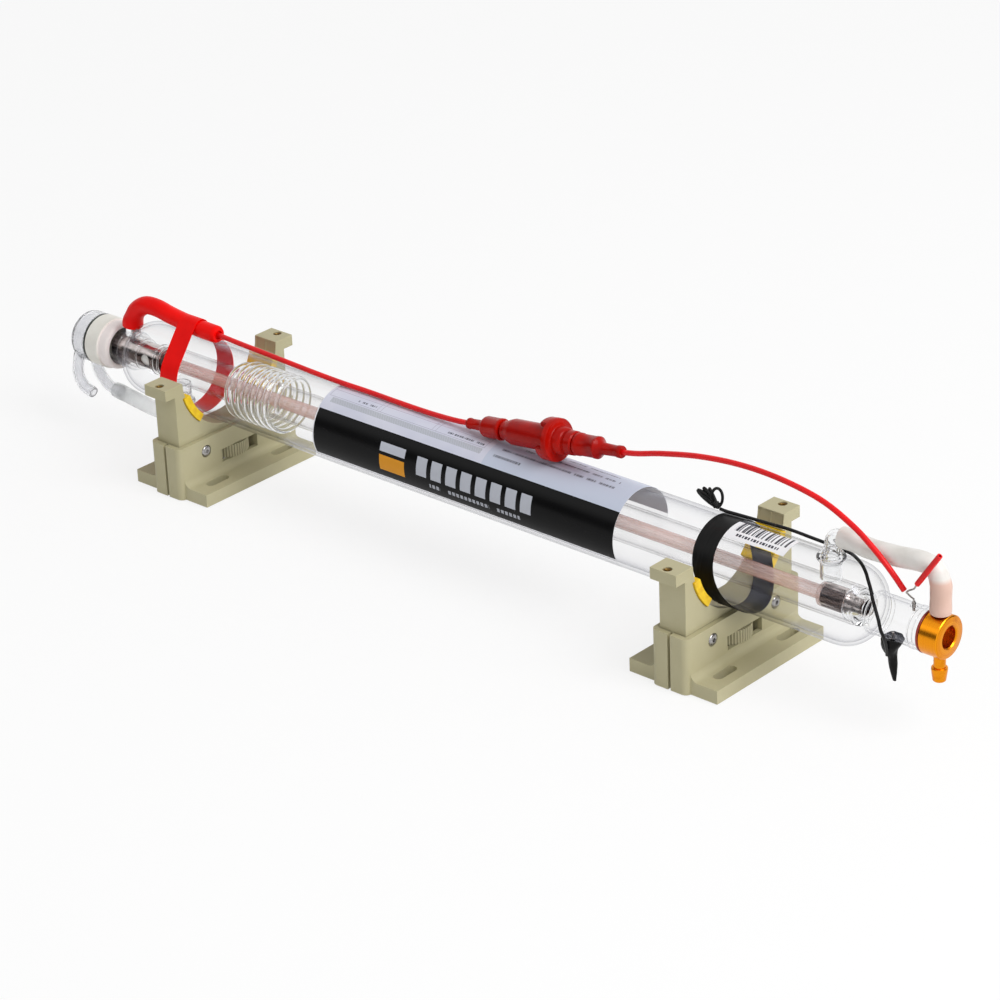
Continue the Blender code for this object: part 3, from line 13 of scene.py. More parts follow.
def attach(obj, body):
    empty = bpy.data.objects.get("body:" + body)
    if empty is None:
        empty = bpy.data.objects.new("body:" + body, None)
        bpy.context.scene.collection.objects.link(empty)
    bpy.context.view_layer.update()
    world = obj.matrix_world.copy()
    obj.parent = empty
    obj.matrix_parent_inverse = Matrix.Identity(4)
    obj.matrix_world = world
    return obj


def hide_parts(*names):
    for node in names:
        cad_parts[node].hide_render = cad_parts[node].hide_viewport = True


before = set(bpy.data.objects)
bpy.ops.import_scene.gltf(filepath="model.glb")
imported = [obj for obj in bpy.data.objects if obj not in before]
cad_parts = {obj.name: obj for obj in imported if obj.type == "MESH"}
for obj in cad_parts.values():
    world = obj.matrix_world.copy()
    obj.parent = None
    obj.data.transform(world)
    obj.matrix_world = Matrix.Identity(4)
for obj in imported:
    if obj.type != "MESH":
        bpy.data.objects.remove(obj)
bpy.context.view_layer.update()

# ---- The studio ----
# A white sweep of paper carries the part. A broad soft lamp stands at the right and above, a weak one
# at the left, and two black flags beside the table give glass and metal their dark edges.


class Wire:
    """The output of a shader node, which takes plain arithmetic."""

    def __init__(self, tree, socket):
        self.tree = tree
        self.socket = socket

    def maths(self, operation, *values):
        node = self.tree.nodes.new("ShaderNodeMath")
        node.operation = operation
        for entry, value in zip(node.inputs, values):
            if isinstance(value, Wire):
                self.tree.links.new(value.socket, entry)
            else:
                entry.default_value = value
        return Wire(self.tree, node.outputs[0])

    def __add__(self, other):
        return self.maths("ADD", self, other)

    def __radd__(self, other):
        return self.maths("ADD", other, self)

    def __sub__(self, other):
        return self.maths("SUBTRACT", self, other)

    def __rsub__(self, other):
        return self.maths("SUBTRACT", other, self)

    def __mul__(self, other):
        return self.maths("MULTIPLY", self, other)

    def __truediv__(self, other):
        return self.maths("DIVIDE", self, other)

    def __pow__(self, other):
        return self.maths("POWER", self, other)

    def __mod__(self, other):
        return self.maths("FLOORED_MODULO", self, other)

    def above(self, limit):
        return self.maths("GREATER_THAN", self, limit)

    def below(self, limit):
        return self.maths("LESS_THAN", self, limit)

    def between(self, low, high):
        return self.above(low) * self.below(high)

    def held(self):
        """The value kept from 0 to 1."""
        return self.maths("MINIMUM", self.maths("MAXIMUM", self, 0.0), 1.0)

    def ramp(self, low, high):
        """0 below low and 1 above high, in a straight line between them."""
        return ((self - low) / (high - low)).held()

    def size(self):
        return self.maths("ABSOLUTE", self)

    def wave(self):
        return self.maths("SINE", self)


class Nodes:
    """A tree of nodes, and the way to add one to it."""

    def node(self, kind, settings=None, inputs=None, output=0):
        """Any node: its settings first, then the values or wires of its sockets."""
        made = self.tree.nodes.new(kind if "Node" in kind else self.family + kind)
        for name, value in (settings or {}).items():
            setattr(made, name, value)
        for entry, value in (inputs or {}).items():
            self.feed(made.inputs[entry], value)
        return Wire(self.tree, made.outputs[output])

    def feed(self, entry, value):
        if isinstance(value, Wire):
            self.tree.links.new(value.socket, entry)
        elif entry.type == "RGBA" and len(value) == 3:
            entry.default_value = (*value, 1.0)
        else:
            entry.default_value = value


class Finish(Nodes):
    """A material, or the world, that is made of shader nodes."""

    family = "ShaderNode"

    def __init__(self, name, owner=None):
        self.owner = owner or bpy.data.materials.new(name)
        self.owner.use_nodes = True
        self.tree = self.owner.node_tree
        self.shader = self.tree.nodes.get("Principled BSDF")

    def coat(self, **values):
        """Sets the main shader's sockets: base_color=..., roughness=... and so on."""
        for name, value in values.items():
            self.feed(self.shader.inputs[name.replace("_", " ").title().replace("Ior", "IOR")], value)

    def spot(self):
        """The place of the surface, in metres of the CAD's own frame."""
        return self.node("TexCoord", output="Object")

    def split(self, vector):
        """The three numbers of a vector."""
        outputs = self.node("SeparateXYZ", inputs={0: vector}).socket.node.outputs
        return [Wire(self.tree, outputs[k]) for k in range(3)]

    def axes(self):
        """x, y and z of the surface in millimetres."""
        return [part * 1000.0 for part in self.split(self.spot())]

    def rays(self):
        """Whether a ray comes straight from the camera, off a glossy surface or through glass."""
        return [self.node("LightPath", output="Is %s Ray" % kind) for kind in ("Camera", "Glossy", "Transmission")]

    def stretched(self, scale):
        """Object coordinates with one scale for each axis."""
        return self.node("Mapping", inputs={0: self.spot(), 3: scale})

    def grain(self, scale, detail=3.0, rough=0.5, vector=None):
        """Noise from 0 to 1 round 0.5."""
        return self.node("TexNoise", inputs={"Vector": vector or self.spot(), "Scale": scale, "Detail": detail,
                                             "Roughness": rough})

    def blend(self, first, second, share):
        """One colour over another by a share from 0 to 1."""
        return self.node("Mix", {"data_type": "RGBA"}, {0: share, 6: first, 7: second}, output=2)

    def relief(self, height, depth, strength):
        """A bump of that depth in metres, for the shader's normal."""
        return self.node("Bump", inputs={"Strength": strength, "Distance": depth, "Height": height})


def added(name, data):
    """A new object in the scene."""
    made = bpy.data.objects.new(name, data)
    bpy.context.collection.objects.link(made)
    return made


MM = 0.001
camera_data = bpy.data.cameras.new("studio_camera")
camera_data.sensor_width = 36.0
camera_data.lens = 126.37
camera_data.clip_start = 0.05
camera_data.clip_end = 30.0
eye = Vector((1326.3, -1408.4, 982.8)) * MM
round_to, above_it, roll = math.radians(42.862), math.radians(25.93), math.radians(-2.385)
back = Vector((math.sin(round_to) * math.cos(above_it), -math.cos(round_to) * math.cos(above_it), math.sin(above_it)))
across = Vector((0, 0, 1)).cross(back).normalized()
upward = back.cross(across)
camera_right = across * math.cos(roll) + upward * math.sin(roll)
camera_up = upward * math.cos(roll) - across * math.sin(roll)
camera = added("studio_camera", camera_data)
camera.matrix_world = Matrix.Translation(eye) @ Matrix((camera_right, camera_up, back)).transposed().to_4x4()
bpy.context.scene.camera = camera
bpy.context.scene.view_settings.view_transform = "Standard"
bpy.context.scene.cycles.transparent_max_bounces = 40


def lamp(name, place, width, watts):
    """A round soft lamp that looks at the middle of the tube."""
    data = bpy.data.lights.new(name, "AREA")
    data.shape = "DISK"
    data.size = width
    data.energy = watts
    made = added(name, data)
    made.location = place
    made.rotation_euler = (Vector((0, 0, 0.05)) - Vector(place)).to_track_quat("-Z", "Y").to_euler()


lamp("key_lamp", (1.9, 0.1, 1.9), 1.7, 44.0)
lamp("left_lamp", (-1.6, -1.9, 1.5), 1.4, 3.0)

world = bpy.data.worlds.new("white_room")
bpy.context.scene.world = world
room = Finish("white_room", world)
sky = room.tree.nodes["Background"]
seen, gloss, through = room.rays()
east, north, height = room.split(room.node("TexCoord", output="Generated"))
# The flags stand to the left and right of the camera's line.
sideways = (east * 0.733 + north * 0.680).size()
flag = sideways.ramp(0.72, 0.84) * (1.0 - height.ramp(0.30, 0.48)) * (gloss + through).held()
# For diffuse light the room is a little brighter at the right and the back than at the left and the front.
fill = 0.56 + east * 0.22 + north * 0.13
room.feed(sky.inputs["Strength"], fill + (seen + gloss + through).held() * (1.0 - fill) - flag * 0.93)
room.feed(sky.inputs["Color"], (1.0, 1.0, 1.0))

FLOOR_HALF, FLOOR_Z = 9.0, -0.6 * MM
floor_mesh = bpy.data.meshes.new("paper_sweep")
floor_mesh.from_pydata([(x * FLOOR_HALF, y * FLOOR_HALF, FLOOR_Z) for x, y in ((-1, -1), (1, -1), (1, 1), (-1, 1))],
                       [], [(0, 1, 2, 3)])
paper = Finish("white_paper")
paper.coat(base_color=paper.blend((0.93, 0.93, 0.93), (0.9, 0.9, 0.9), paper.grain(40.0)), roughness=0.9)
glow = paper.node("Emission", inputs={"Color": (1.0, 1.0, 1.0), "Strength": 1.0})
paper_mix = paper.node("MixShader", inputs={0: sum(paper.rays()).held() * 0.8,
                                            1: Wire(paper.tree, paper.shader.outputs[0]), 2: glow})
paper.feed(paper.tree.nodes["Material Output"].inputs["Surface"], paper_mix)
floor_mesh.materials.append(paper.owner)
added("paper_sweep", floor_mesh)

# ---- The red high-voltage lead ----
# Silicone-sheathed stranded wire, 3.4 mm thick. The rear run leaves the red boot and lies along the tube
# to the connector. The front run rises in an arch and ends cut off above the neck pin.

AXIS_Z = 63.0 * MM


def placed(x, points):
    """Route points listed in mm: how far on from x, across, and above the tube's axis."""
    return [Vector((x + along * MM, y * MM, AXIS_Z + up * MM)) for along, y, up in points]


def lengths_along(route):
    """How far along the route each of its points lies."""
    lengths = [0.0]
    for a, b in zip(route, route[1:]):
        lengths.append(lengths[-1] + (b - a).length)
    return lengths


def run_length(route):
    return lengths_along(route)[-1]


def smooth_route(points, spacing):
    """Evenly spaced points on a Catmull-Rom curve through the route's own points."""
    fixed = [Vector(point) for point in points]
    ends = [fixed[0] * 2 - fixed[1]] + fixed + [fixed[-1] * 2 - fixed[-2]]
    fine = []
    for p0, p1, p2, p3 in zip(ends, ends[1:], ends[2:], ends[3:]):
        for t in [step / 16 for step in range(16)]:
            fine.append(0.5 * ((2 * p1) + (p2 - p0) * t + (2 * p0 - 5 * p1 + 4 * p2 - p3) * t * t
                               + (3 * p1 - p0 - 3 * p2 + p3) * t * t * t))
    fine.append(fixed[-1])
    lengths = lengths_along(fine)
    count = max(2, round(lengths[-1] / spacing))
    route = []
    j = 0
    for i in range(count + 1):
        wanted = lengths[-1] * i / count
        while j < len(fine) - 2 and lengths[j + 1] < wanted:
            j += 1
        share = (wanted - lengths[j]) / max(lengths[j + 1] - lengths[j], 1e-9)
        route.append(fine[j].lerp(fine[j + 1], min(share, 1.0)))
    return route


def lead(name, route, radius, finish):
    """A round cord on one open line, with closed ends."""
    curve = bpy.data.curves.new(name, "CURVE")
    curve.dimensions = "3D"
    curve.bevel_depth = radius
    curve.bevel_resolution = 6
    curve.use_fill_caps = True
    spline = curve.splines.new("POLY")
    spline.points.add(len(route) - 1)
    for entry, point in zip(spline.points, route):
        entry.co = (*point, 1.0)
    spline.use_smooth = True
    curve.materials.append(finish.owner)
    return added(name, curve)


def mounted(piece, body, slot_name, *nodes):
    """The piece rides on its body and stands for its CAD nodes, which it hides. slot_name is not used."""
    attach(piece, body)
    if nodes:
        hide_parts(*nodes)
    return piece


TUBE = "tube_assembly"
LEAD_RADIUS = 1.7 * MM
plug_start = Vector((-4.0 * MM, 0, AXIS_Z + 30.6 * MM))
socket_end = Vector((118.8 * MM, 0, AXIS_Z + 46.1 * MM))
line_up = (socket_end - plug_start).normalized()
plug_length = (socket_end - plug_start).length

red_sheath = Finish("red_sheath")
smear = red_sheath.grain(60.0, 3.0)
red_sheath.coat(
    base_color=red_sheath.blend((0.66, 0.003, 0.006), (0.84, 0.007, 0.010), smear.ramp(0.3, 0.7)),
    roughness=0.22 + smear * 0.22,
    specular_ior_level=0.28,
    normal=red_sheath.relief(red_sheath.grain(900.0, 2.0) + smear, 0.00008, 0.5))

rear_route = smooth_route(placed(plug_start.x, [
    (-217.6, 0, 32.3), (-198.5, 0, 31.4), (-176, 0, 30.6), (-153, 0, 29.7), (-131, 0.3, 28.7), (-109, 0.8, 27.9),
    (-86, 1.2, 27.8), (-61, 0.8, 27.8), (-36, 0.5, 28), (-15, 0.2, 29)])
    + [plug_start - line_up * MM, plug_start + line_up * 7.7 * MM], 4.0 * MM)
rear_lead = mounted(lead("hv_rear_lead", rear_route, LEAD_RADIUS, red_sheath), TUBE, "red_insulation", "hv_lead_rear")

arch_route = smooth_route([socket_end - line_up * 7.7 * MM, socket_end + line_up * MM] + placed(socket_end.x, [
    (12.2, 0, 48.7), (29.2, 0, 53.6), (57.8, -0.6, 60.2), (88.6, -1.9, 64.3), (118.7, -3.6, 64.8),
    (148.6, -5.3, 61.1), (171.6, -6.9, 52.7), (186.2, -7.8, 43.9), (193.7, -8.6, 38.6), (199.8, -8, 32.4),
    (206, -5.9, 23.2)]), 4.0 * MM)
front_lead = mounted(lead("hv_front_lead", arch_route, LEAD_RADIUS, red_sheath), TUBE, "red_insulation",
                     "hv_lead_front")

# ---- The black cathode lead ----
# Thin PVC-covered wire, 2 mm thick, soldered to the cathode pin in the cone. It winds round the neck, lies
# on top of the barrel under the tape and ends in a small tied bundle.

FRONT = 282.0 * MM
CATHODE_RADIUS = 1.0 * MM


def mottled(name, first, second, noise, spread, rough, depth, strength=0.5, stretch=None, **more):
    """A finish of two close tones, whose drift also changes the gloss and the relief a little."""
    made = Finish(name)
    drift = made.grain(*noise, vector=stretch and made.stretched(stretch))
    made.coat(base_color=made.blend(first, second, drift.ramp(*spread)), roughness=rough[0] + drift * rough[1],
              normal=made.relief(drift, depth, strength), **more)
    return made


black_sheath = mottled("black_sheath", (0.004, 0.004, 0.004), (0.014, 0.014, 0.014), (220.0, 3.0), (0.35, 0.75),
                       (0.26, 0.25), 0.06 * MM, specular_ior_level=0.20)
cathode_route = smooth_route(placed(FRONT, [
    (30.5, -4.2, -22.0), (32.4, -7.4, -15.6), (34, -12.5, -6.1), (32.9, -13.9, -1.5), (31.1, -13.5, 4),
    (27.5, -11.4, 8.6), (22.8, -7.8, 12.2), (19.4, -4.9, 16), (16.2, -3.2, 20.2), (13.2, -1.1, 23), (8.3, 1.8, 25.4),
    (2.5, 5, 26), (-3.8, 8.9, 25.2), (-11.8, 11.2, 24.6), (-19.8, 12.4, 24.2), (-35, 13.4, 24), (-52, 13.8, 24.2),
    (-67, 11.9, 24.6), (-83, 9.6, 25.2), (-92, 7.6, 25.9), (-96.6, 6.8, 26.6)]), 2.6 * MM)
cathode_lead = mounted(lead("cathode_wire", cathode_route, CATHODE_RADIUS, black_sheath), TUBE, "black_insulation",
                       "cathode_lead")


def frames_along(route):
    """Each point with two cross directions, carried along without twist."""
    frames = []
    side = None
    for i, point in enumerate(route):
        tangent = (route[min(i + 1, len(route) - 1)] - route[max(i - 1, 0)]).normalized()
        if side is None:
            side = tangent.orthogonal()
        side = (side - tangent * side.dot(tangent)).normalized()
        frames.append((point, side, tangent.cross(side)))
    return frames


def ring_of(bm, centre, side, up, radius, count):
    """A ring of points round centre, in the plane of its two cross directions."""
    return [bm.verts.new(centre + (side * math.cos(2 * math.pi * k / count) + up * math.sin(2 * math.pi * k / count))
                         * radius) for k in range(count)]


def skinned(bm, rings, capped=True, closed=False):
    """Faces between neighbouring rings, with a cap at each end, or on round to the first ring where closed."""
    for one, two in zip(rings, rings[1:] + rings[:1] if closed else rings[1:]):
        for k in range(len(one)):
            n = (k + 1) % len(one)
            bm.faces.new((one[k], one[n], two[n], two[k]))
    if capped and not closed:
        bm.faces.new(list(reversed(rings[0])))
        bm.faces.new(rings[-1])
    return bm


def swept(route, radii, sides, bore=None, into=None):
    """A round bar along a route, with a radius at each point, or a tube where bores are given."""
    bm = into or bmesh.new()
    outer, inner = [[ring_of(bm, point, side, up, size, sides) for (point, side, up), size in
                     zip(frames_along(route), sizes)] for sizes in (radii, bore or [])]
    skinned(bm, outer, capped=not inner)
    if inner:
        skinned(bm, inner, capped=False)
        for end in (0, -1):
            skinned(bm, [outer[end], inner[end]], capped=False)
    return bm


def smoothed(mesh, crease_deg=35.0):
    mesh.shade_smooth()
    mesh.set_sharp_from_angle(angle=math.radians(crease_deg))


def finished(name, bm, finish, crease_deg=35.0):
    """A smooth-shaded object with outward faces, at the origin."""
    mesh = bpy.data.meshes.new(name)
    bmesh.ops.remove_doubles(bm, verts=bm.verts, dist=1e-7)
    bmesh.ops.recalc_face_normals(bm, faces=bm.faces)
    bm.to_mesh(mesh)
    bm.free()
    smoothed(mesh, crease_deg)
    mesh.materials.append(finish.owner)
    return added(name, mesh)


# The bundle: one turn of the spare wire stands open as a ring, three more are squeezed flat beside it, and
# all are bound where they meet on the tape.
TIE = Vector((FRONT - 97.7 * MM, 6.6 * MM, AXIS_Z + 27.2 * MM))
wire_bundle = bmesh.new()
for tip_x, tip_z, half, y, lean in ((-111.0, 35.2, 1.2, 4.6, -0.6), (-108.4, 36.4, 1.5, 6.8, 0.3),
                                    (-105.6, 36.2, 1.3, 8.6, 0.9), (-109.6, 32.6, 1.1, 6.2, 1.2)):
    tip = Vector((FRONT + tip_x * MM, y * MM, AXIS_Z + tip_z * MM))
    down = TIE - tip
    beside = Vector((down.z, 0, -down.x)).normalized()
    loop = []
    for k in range(41):
        angle = 2 * math.pi * k / 40
        share = 0.5 - 0.5 * math.cos(angle)
        width = half * (1 - share) ** 0.5 + 0.7 * share
        loop.append(tip + down * share + beside * math.sin(angle) * width * MM
                    + Vector((0, lean * math.sin(angle) * MM, 0)))
    swept(loop, [0.92 * MM] * len(loop), 10, into=wire_bundle)
ring = []
for k in range(45):
    angle = 2 * math.pi * k / 44
    ring.append(Vector((FRONT + (-98.9 + 2.4 * math.sin(angle)) * MM, (6.9 + 2.2 * math.sin(angle)) * MM,
                        AXIS_Z + (33.0 - 6.0 * math.cos(angle)) * MM)))
swept(ring, [0.88 * MM] * len(ring), 12, into=wire_bundle)
binding_way = Vector((-0.75, 0, 0.66))
binding_over = Vector((0.66, 0, 0.75))
binding = []
for k in range(61):
    angle = 2 * math.pi * k / 20
    binding.append(TIE + binding_way * (0.6 + k * 0.05) * MM + binding_over * math.cos(angle) * 1.3 * MM
                   + Vector((0, math.sin(angle) * 2.2 * MM, 0)))
swept(binding, [0.6 * MM] * 61, 10, into=wire_bundle)
bundle = mounted(finished("cathode_bundle", wire_bundle, black_sheath, 60), TUBE, "black_insulation",
                 "cathode_lead_hank")
run_length(cathode_route)

# ---- The glass envelope ----
# A blown borosilicate barrel, 50 mm across with a 2 mm wall, drawn down at both ends to a neck. The gas
# fills it. It is fused to everything that passes through it, and shows mostly by its edges.

REAR = -282.0 * MM
TUBE_RADIUS = 25.0 * MM
TUBE_WALL = 2.0 * MM
NECK_RADIUS = 12.4 * MM
NECK_WALL = 1.8 * MM
WAYS = {"X": Vector((1, 0, 0)), "Y": Vector((0, 1, 0)), "Z": Vector((0, 0, 1))}


def profile(start, points):
    """An outline for turned(), listed in mm as how far on from start and how far out."""
    return [(start + along * MM, out * MM) for along, out in points]


def turned(outline, axis="X", centre=(0.0, 0.0, AXIS_Z), segments=96, into=None):
    """Spin a closed outline of (along, radius) points about an axis through centre."""
    along = WAYS[axis] if isinstance(axis, str) else axis
    first = WAYS["Y" if abs(along.y) < 0.5 else "X"]
    first = (first - along * first.dot(along)).normalized()
    second = along.cross(first)
    bm = into or bmesh.new()
    rings = []
    for a, radius in outline:
        middle = Vector(centre) + along * a
        rings.append([bm.verts.new(middle)] if radius < 1e-7 else ring_of(bm, middle, first, second, radius, segments))
    for one, two in zip(rings, rings[1:] + rings[:1]):
        # A ring of one point is a pole, and two poles side by side need no faces.
        for k in range(segments if len(one) + len(two) > 2 else 0):
            n = (k + 1) % segments
            corners = (one[k % len(one)], one[n % len(one)], two[n % len(two)], two[k % len(two)])
            bm.faces.new(list(dict.fromkeys(corners)))
    return bm


def bend(centre, radius, start_deg, end_deg, steps):
    """Points on an arc in a plane, from start to end."""
    angles = [math.radians(start_deg + (end_deg - start_deg) * i / steps) for i in range(steps + 1)]
    return [(centre[0] + radius * math.cos(angle), centre[1] + radius * math.sin(angle)) for angle in angles]


def thin_glass(name, tint, clear, edge, streak=0.02):
    """Clear glass with a thin wall: see-through from the front, grey and mirror-like where it turns away."""
    glass = Finish(name)
    turn = glass.node("LayerWeight", inputs={"Blend": 0.5}, output="Facing")
    drawn = glass.grain(1.0, 3.0, 0.6, glass.stretched((9.0, 260.0, 260.0)))
    haze = glass.grain(35.0, 2.0)
    grey = tuple(0.80 * c for c in tint)
    deep = tuple(0.30 * c for c in tint)
    glass.coat(
        base_color=glass.blend(glass.blend(tint, grey, turn.ramp(0.45, 0.85)), deep, turn.ramp(0.86, 1.0)),
        metallic=1.0,
        roughness=0.02 + haze * 0.03,
        alpha=(turn ** 5.0 * edge + clear + drawn.ramp(0.52, 0.8) * streak + haze.ramp(0.55, 0.8) * streak).held(),
        normal=glass.relief(drawn, 0.00012, 0.25))
    return glass


def shoulder(side, offset):
    """Points of a domed shoulder from the barrel to the neck, moved in by offset."""
    steps = 14
    lip = 8.0 * MM
    rise = TUBE_RADIUS - lip - offset
    reach = 20.0 * MM - offset
    lowest = math.degrees(math.asin((NECK_RADIUS - offset * NECK_WALL / TUBE_WALL - lip) / rise))
    return [(side * (FRONT + reach * math.cos(math.radians(90 + (lowest - 90) * i / steps))),
             lip + rise * math.sin(math.radians(90 + (lowest - 90) * i / steps))) for i in range(steps + 1)]


clear_glass = thin_glass("clear_glass", (0.36, 0.365, 0.43), 0.022, 1.0)
rear_end, front_end = REAR - 51.6 * MM, FRONT + 55.0 * MM
outline = [(rear_end, NECK_RADIUS)] + list(reversed(shoulder(-1, 0.0))) + shoulder(1, 0.0)
outline += [(FRONT + along * MM, NECK_RADIUS + bead * MM) for along, bead in
            ((22.5, 0.35), (24.0, 0), (47.5, 0), (48.6, 0.35), (50.0, 0.35), (51.1, 0), (55.0, 0))]
outline += [(front_end, NECK_RADIUS - NECK_WALL)] + list(reversed(shoulder(1, TUBE_WALL))) + shoulder(-1, TUBE_WALL)
outline += [(rear_end, NECK_RADIUS - NECK_WALL)]
mounted(finished("glass_envelope", turned(outline, segments=128), clear_glass, 50), TUBE, "clear_glass", "outer_tube")

# ---- The water jacket and the discharge tube ----
# Two glass tubes inside the envelope, one in the other. Cooling water runs between them, and the
# discharge burns in the narrow one, whose glass looks pink.

JACKET_RADIUS = 11.5 * MM
JACKET_WALL = 1.2 * MM
jacket_rear, rear_round = REAR + 14.0 * MM, 6.0 * MM
jacket_front, front_round = FRONT + 10.0 * MM, 3.0 * MM
rear_centre = (jacket_rear + rear_round, JACKET_RADIUS - rear_round)
front_centre = (jacket_front - front_round, JACKET_RADIUS - front_round)
outline = [(jacket_rear, 4.6 * MM)] + bend(rear_centre, rear_round, 180, 90, 8)
outline += bend(front_centre, front_round, 90, 0, 6)
outline += [(jacket_front, 5.4 * MM), (jacket_front - JACKET_WALL, 5.4 * MM)]
outline += bend(front_centre, front_round - JACKET_WALL, 0, 90, 6)
outline += bend(rear_centre, rear_round - JACKET_WALL, 90, 180, 8) + [(jacket_rear + JACKET_WALL, 4.6 * MM)]
jacket_glass = thin_glass("jacket_glass", (0.40, 0.38, 0.40), 0.016, 0.95, 0.035)
mounted(finished("jacket", turned(outline, segments=80), jacket_glass, 50), TUBE, "clear_glass", "water_jacket")

pink_glass = Finish("pink_glass")
turn = pink_glass.node("LayerWeight", inputs={"Blend": 0.5}, output="Facing")
flow = pink_glass.grain(1.0, 4.0, 0.6, pink_glass.stretched((45.0, 700.0, 700.0)))
clouds = pink_glass.grain(60.0, 3.0)
pink_glass.coat(
    base_color=pink_glass.blend(pink_glass.blend((0.92, 0.56, 0.47), (0.97, 0.80, 0.74), flow.ramp(0.35, 0.65)),
                                (0.50, 0.17, 0.11), turn.ramp(0.42, 0.92)),
    roughness=0.12 + clouds * 0.1,
    alpha=(0.17 + flow.ramp(0.35, 0.65) * 0.16 + turn ** 2.0 * 0.60).held(),
    normal=pink_glass.relief(flow, 0.0002, 0.4))
bore_ends = profile(REAR, [(10.0, 3.2), (10.0, 4.2)]) + profile(FRONT, [(-16.0, 4.2), (-16.0, 3.2)])
mounted(finished("discharge_bore", turned(bore_ends, segments=48), pink_glass), TUBE, "pink_glass", "discharge_tube")

# ---- The gas-return spiral ----
# A clear glass capillary wound seven and a half turns round the jacket. It carries the gas back from the
# anode's space, and its ends dip to the jacket where they are fused to it.


class Pattern(Nodes):
    """A Geometry Nodes tree with a named input for each size."""

    family = "GeometryNode"

    def __init__(self, name, **sizes):
        self.tree = bpy.data.node_groups.new(name, "GeometryNodeTree")
        self.tree.interface.new_socket("Geometry", in_out="OUTPUT", socket_type="NodeSocketGeometry")
        self.values = sizes
        self.identifiers = {}
        for size_name, value in sizes.items():
            kind = "NodeSocketInt" if isinstance(value, int) else "NodeSocketFloat"
            entry = self.tree.interface.new_socket(size_name, in_out="INPUT", socket_type=kind)
            self.identifiers[size_name] = entry.identifier
        self.given = self.tree.nodes.new("NodeGroupInput")
        self.result = self.tree.nodes.new("NodeGroupOutput")

    def size(self, name):
        return Wire(self.tree, self.given.outputs[name])

    def point(self, x, y, z):
        return self.node("ShaderNodeCombineXYZ", inputs={0: x, 1: y, 2: z})

    def joined(self, *parts):
        """Several geometries as one."""
        joint = self.tree.nodes.new("GeometryNodeJoinGeometry")
        for part in parts:
            self.feed(joint.inputs[0], part)
        return Wire(self.tree, joint.outputs[0])

    def laid(self, name, geometry, finish):
        """The tree's result as a plain mesh object."""
        real = self.node("RealizeInstances", inputs={0: geometry})
        painted = self.node("SetMaterial", inputs={"Geometry": real, "Material": finish.owner})
        self.feed(self.result.inputs[0], painted)
        carrier = added(name, bpy.data.meshes.new(name + "_start"))
        modifier = carrier.modifiers.new(name, "NODES")
        modifier.node_group = self.tree
        for size_name, value in self.values.items():
            modifier[self.identifiers[size_name]] = value
        mesh = bpy.data.meshes.new_from_object(carrier.evaluated_get(bpy.context.evaluated_depsgraph_get()))
        carrier.modifiers.clear()
        carrier.data = mesh
        mesh.materials.clear()
        mesh.materials.append(finish.owner)
        for face in mesh.polygons:
            face.material_index = 0
        smoothed(mesh)
        return carrier


clear_rod = mottled("clear_rod", (0.97, 0.975, 0.98), (0.90, 0.91, 0.92), (160.0, 2.0), (0.5, 0.8), (0.015, 0.02),
                    0.3 * MM, 0.25, ior=1.46, transmission_weight=1.0)

spiral = Pattern("spiral", Turns=7.5, Pitch=5.9 * MM, Radius=18.0 * MM, Touch=13.5 * MM, Wire=1.7 * MM, Points=420)
line = spiral.node("CurvePrimitiveLine", inputs={"Start": (0, 0, 0), "End": (1, 0, 0)})
line = spiral.node("ResampleCurve", inputs={"Curve": line, "Count": spiral.size("Points")})
turns_in = spiral.node("SplineParameter", output="Factor") * spiral.size("Turns")
from_end = turns_in.maths("MINIMUM", turns_in, spiral.size("Turns") - turns_in)
# The last third of a turn at each end dips to the jacket.
dip = (from_end / 0.35).held()
ring_radius = spiral.size("Touch") + (spiral.size("Radius") - spiral.size("Touch")) * dip
angle = turns_in * (2 * math.pi)
wound = spiral.point(turns_in * spiral.size("Pitch") + (REAR + 80.0 * MM),
                     ring_radius * angle.maths("COSINE", angle), ring_radius * angle.wave() + AXIS_Z)
line = spiral.node("SetPosition", inputs={"Geometry": line, "Position": wound})
hoop = spiral.node("CurvePrimitiveCircle", inputs={"Resolution": 14, "Radius": spiral.size("Wire")})
coil_skin = spiral.node("CurveToMesh", inputs={"Curve": line, "Profile Curve": hoop, "Fill Caps": True})
mounted(spiral.laid("gas_spiral", coil_skin, clear_rod), TUBE, "clear_glass", "gas_return_coil")

# ---- The electrodes and their pins ----
# Rolled nickel sheet sleeves, browned by heat, one at each end of the discharge. Wires through the necks
# carry them, sealed in small beads of glass.

dull_nickel = Finish("dull_nickel")
rolled = dull_nickel.grain(1.0, 4.0, 0.6, dull_nickel.stretched((40.0, 900.0, 900.0)))
reflection_streaks = dull_nickel.grain(1.0, 2.0, 0.5, dull_nickel.stretched((9.0, 150.0, 150.0)))
heat = dull_nickel.grain(90.0, 3.0)
# The bright lengthwise streaks in the base colour are painted reflections; the dark brown patches are heat tint.
dull_nickel.coat(
    base_color=dull_nickel.blend(
        dull_nickel.blend(dull_nickel.blend((0.035, 0.022, 0.018), (0.13, 0.10, 0.09), rolled.ramp(0.38, 0.62)),
                          (0.62, 0.56, 0.54), reflection_streaks.ramp(0.50, 0.58)),
        (0.05, 0.02, 0.014), heat.ramp(0.52, 0.78) * 0.8),
    metallic=1.0,
    roughness=0.12 + rolled * 0.12,
    normal=dull_nickel.relief(rolled + heat * 0.5, 0.0002, 0.5))


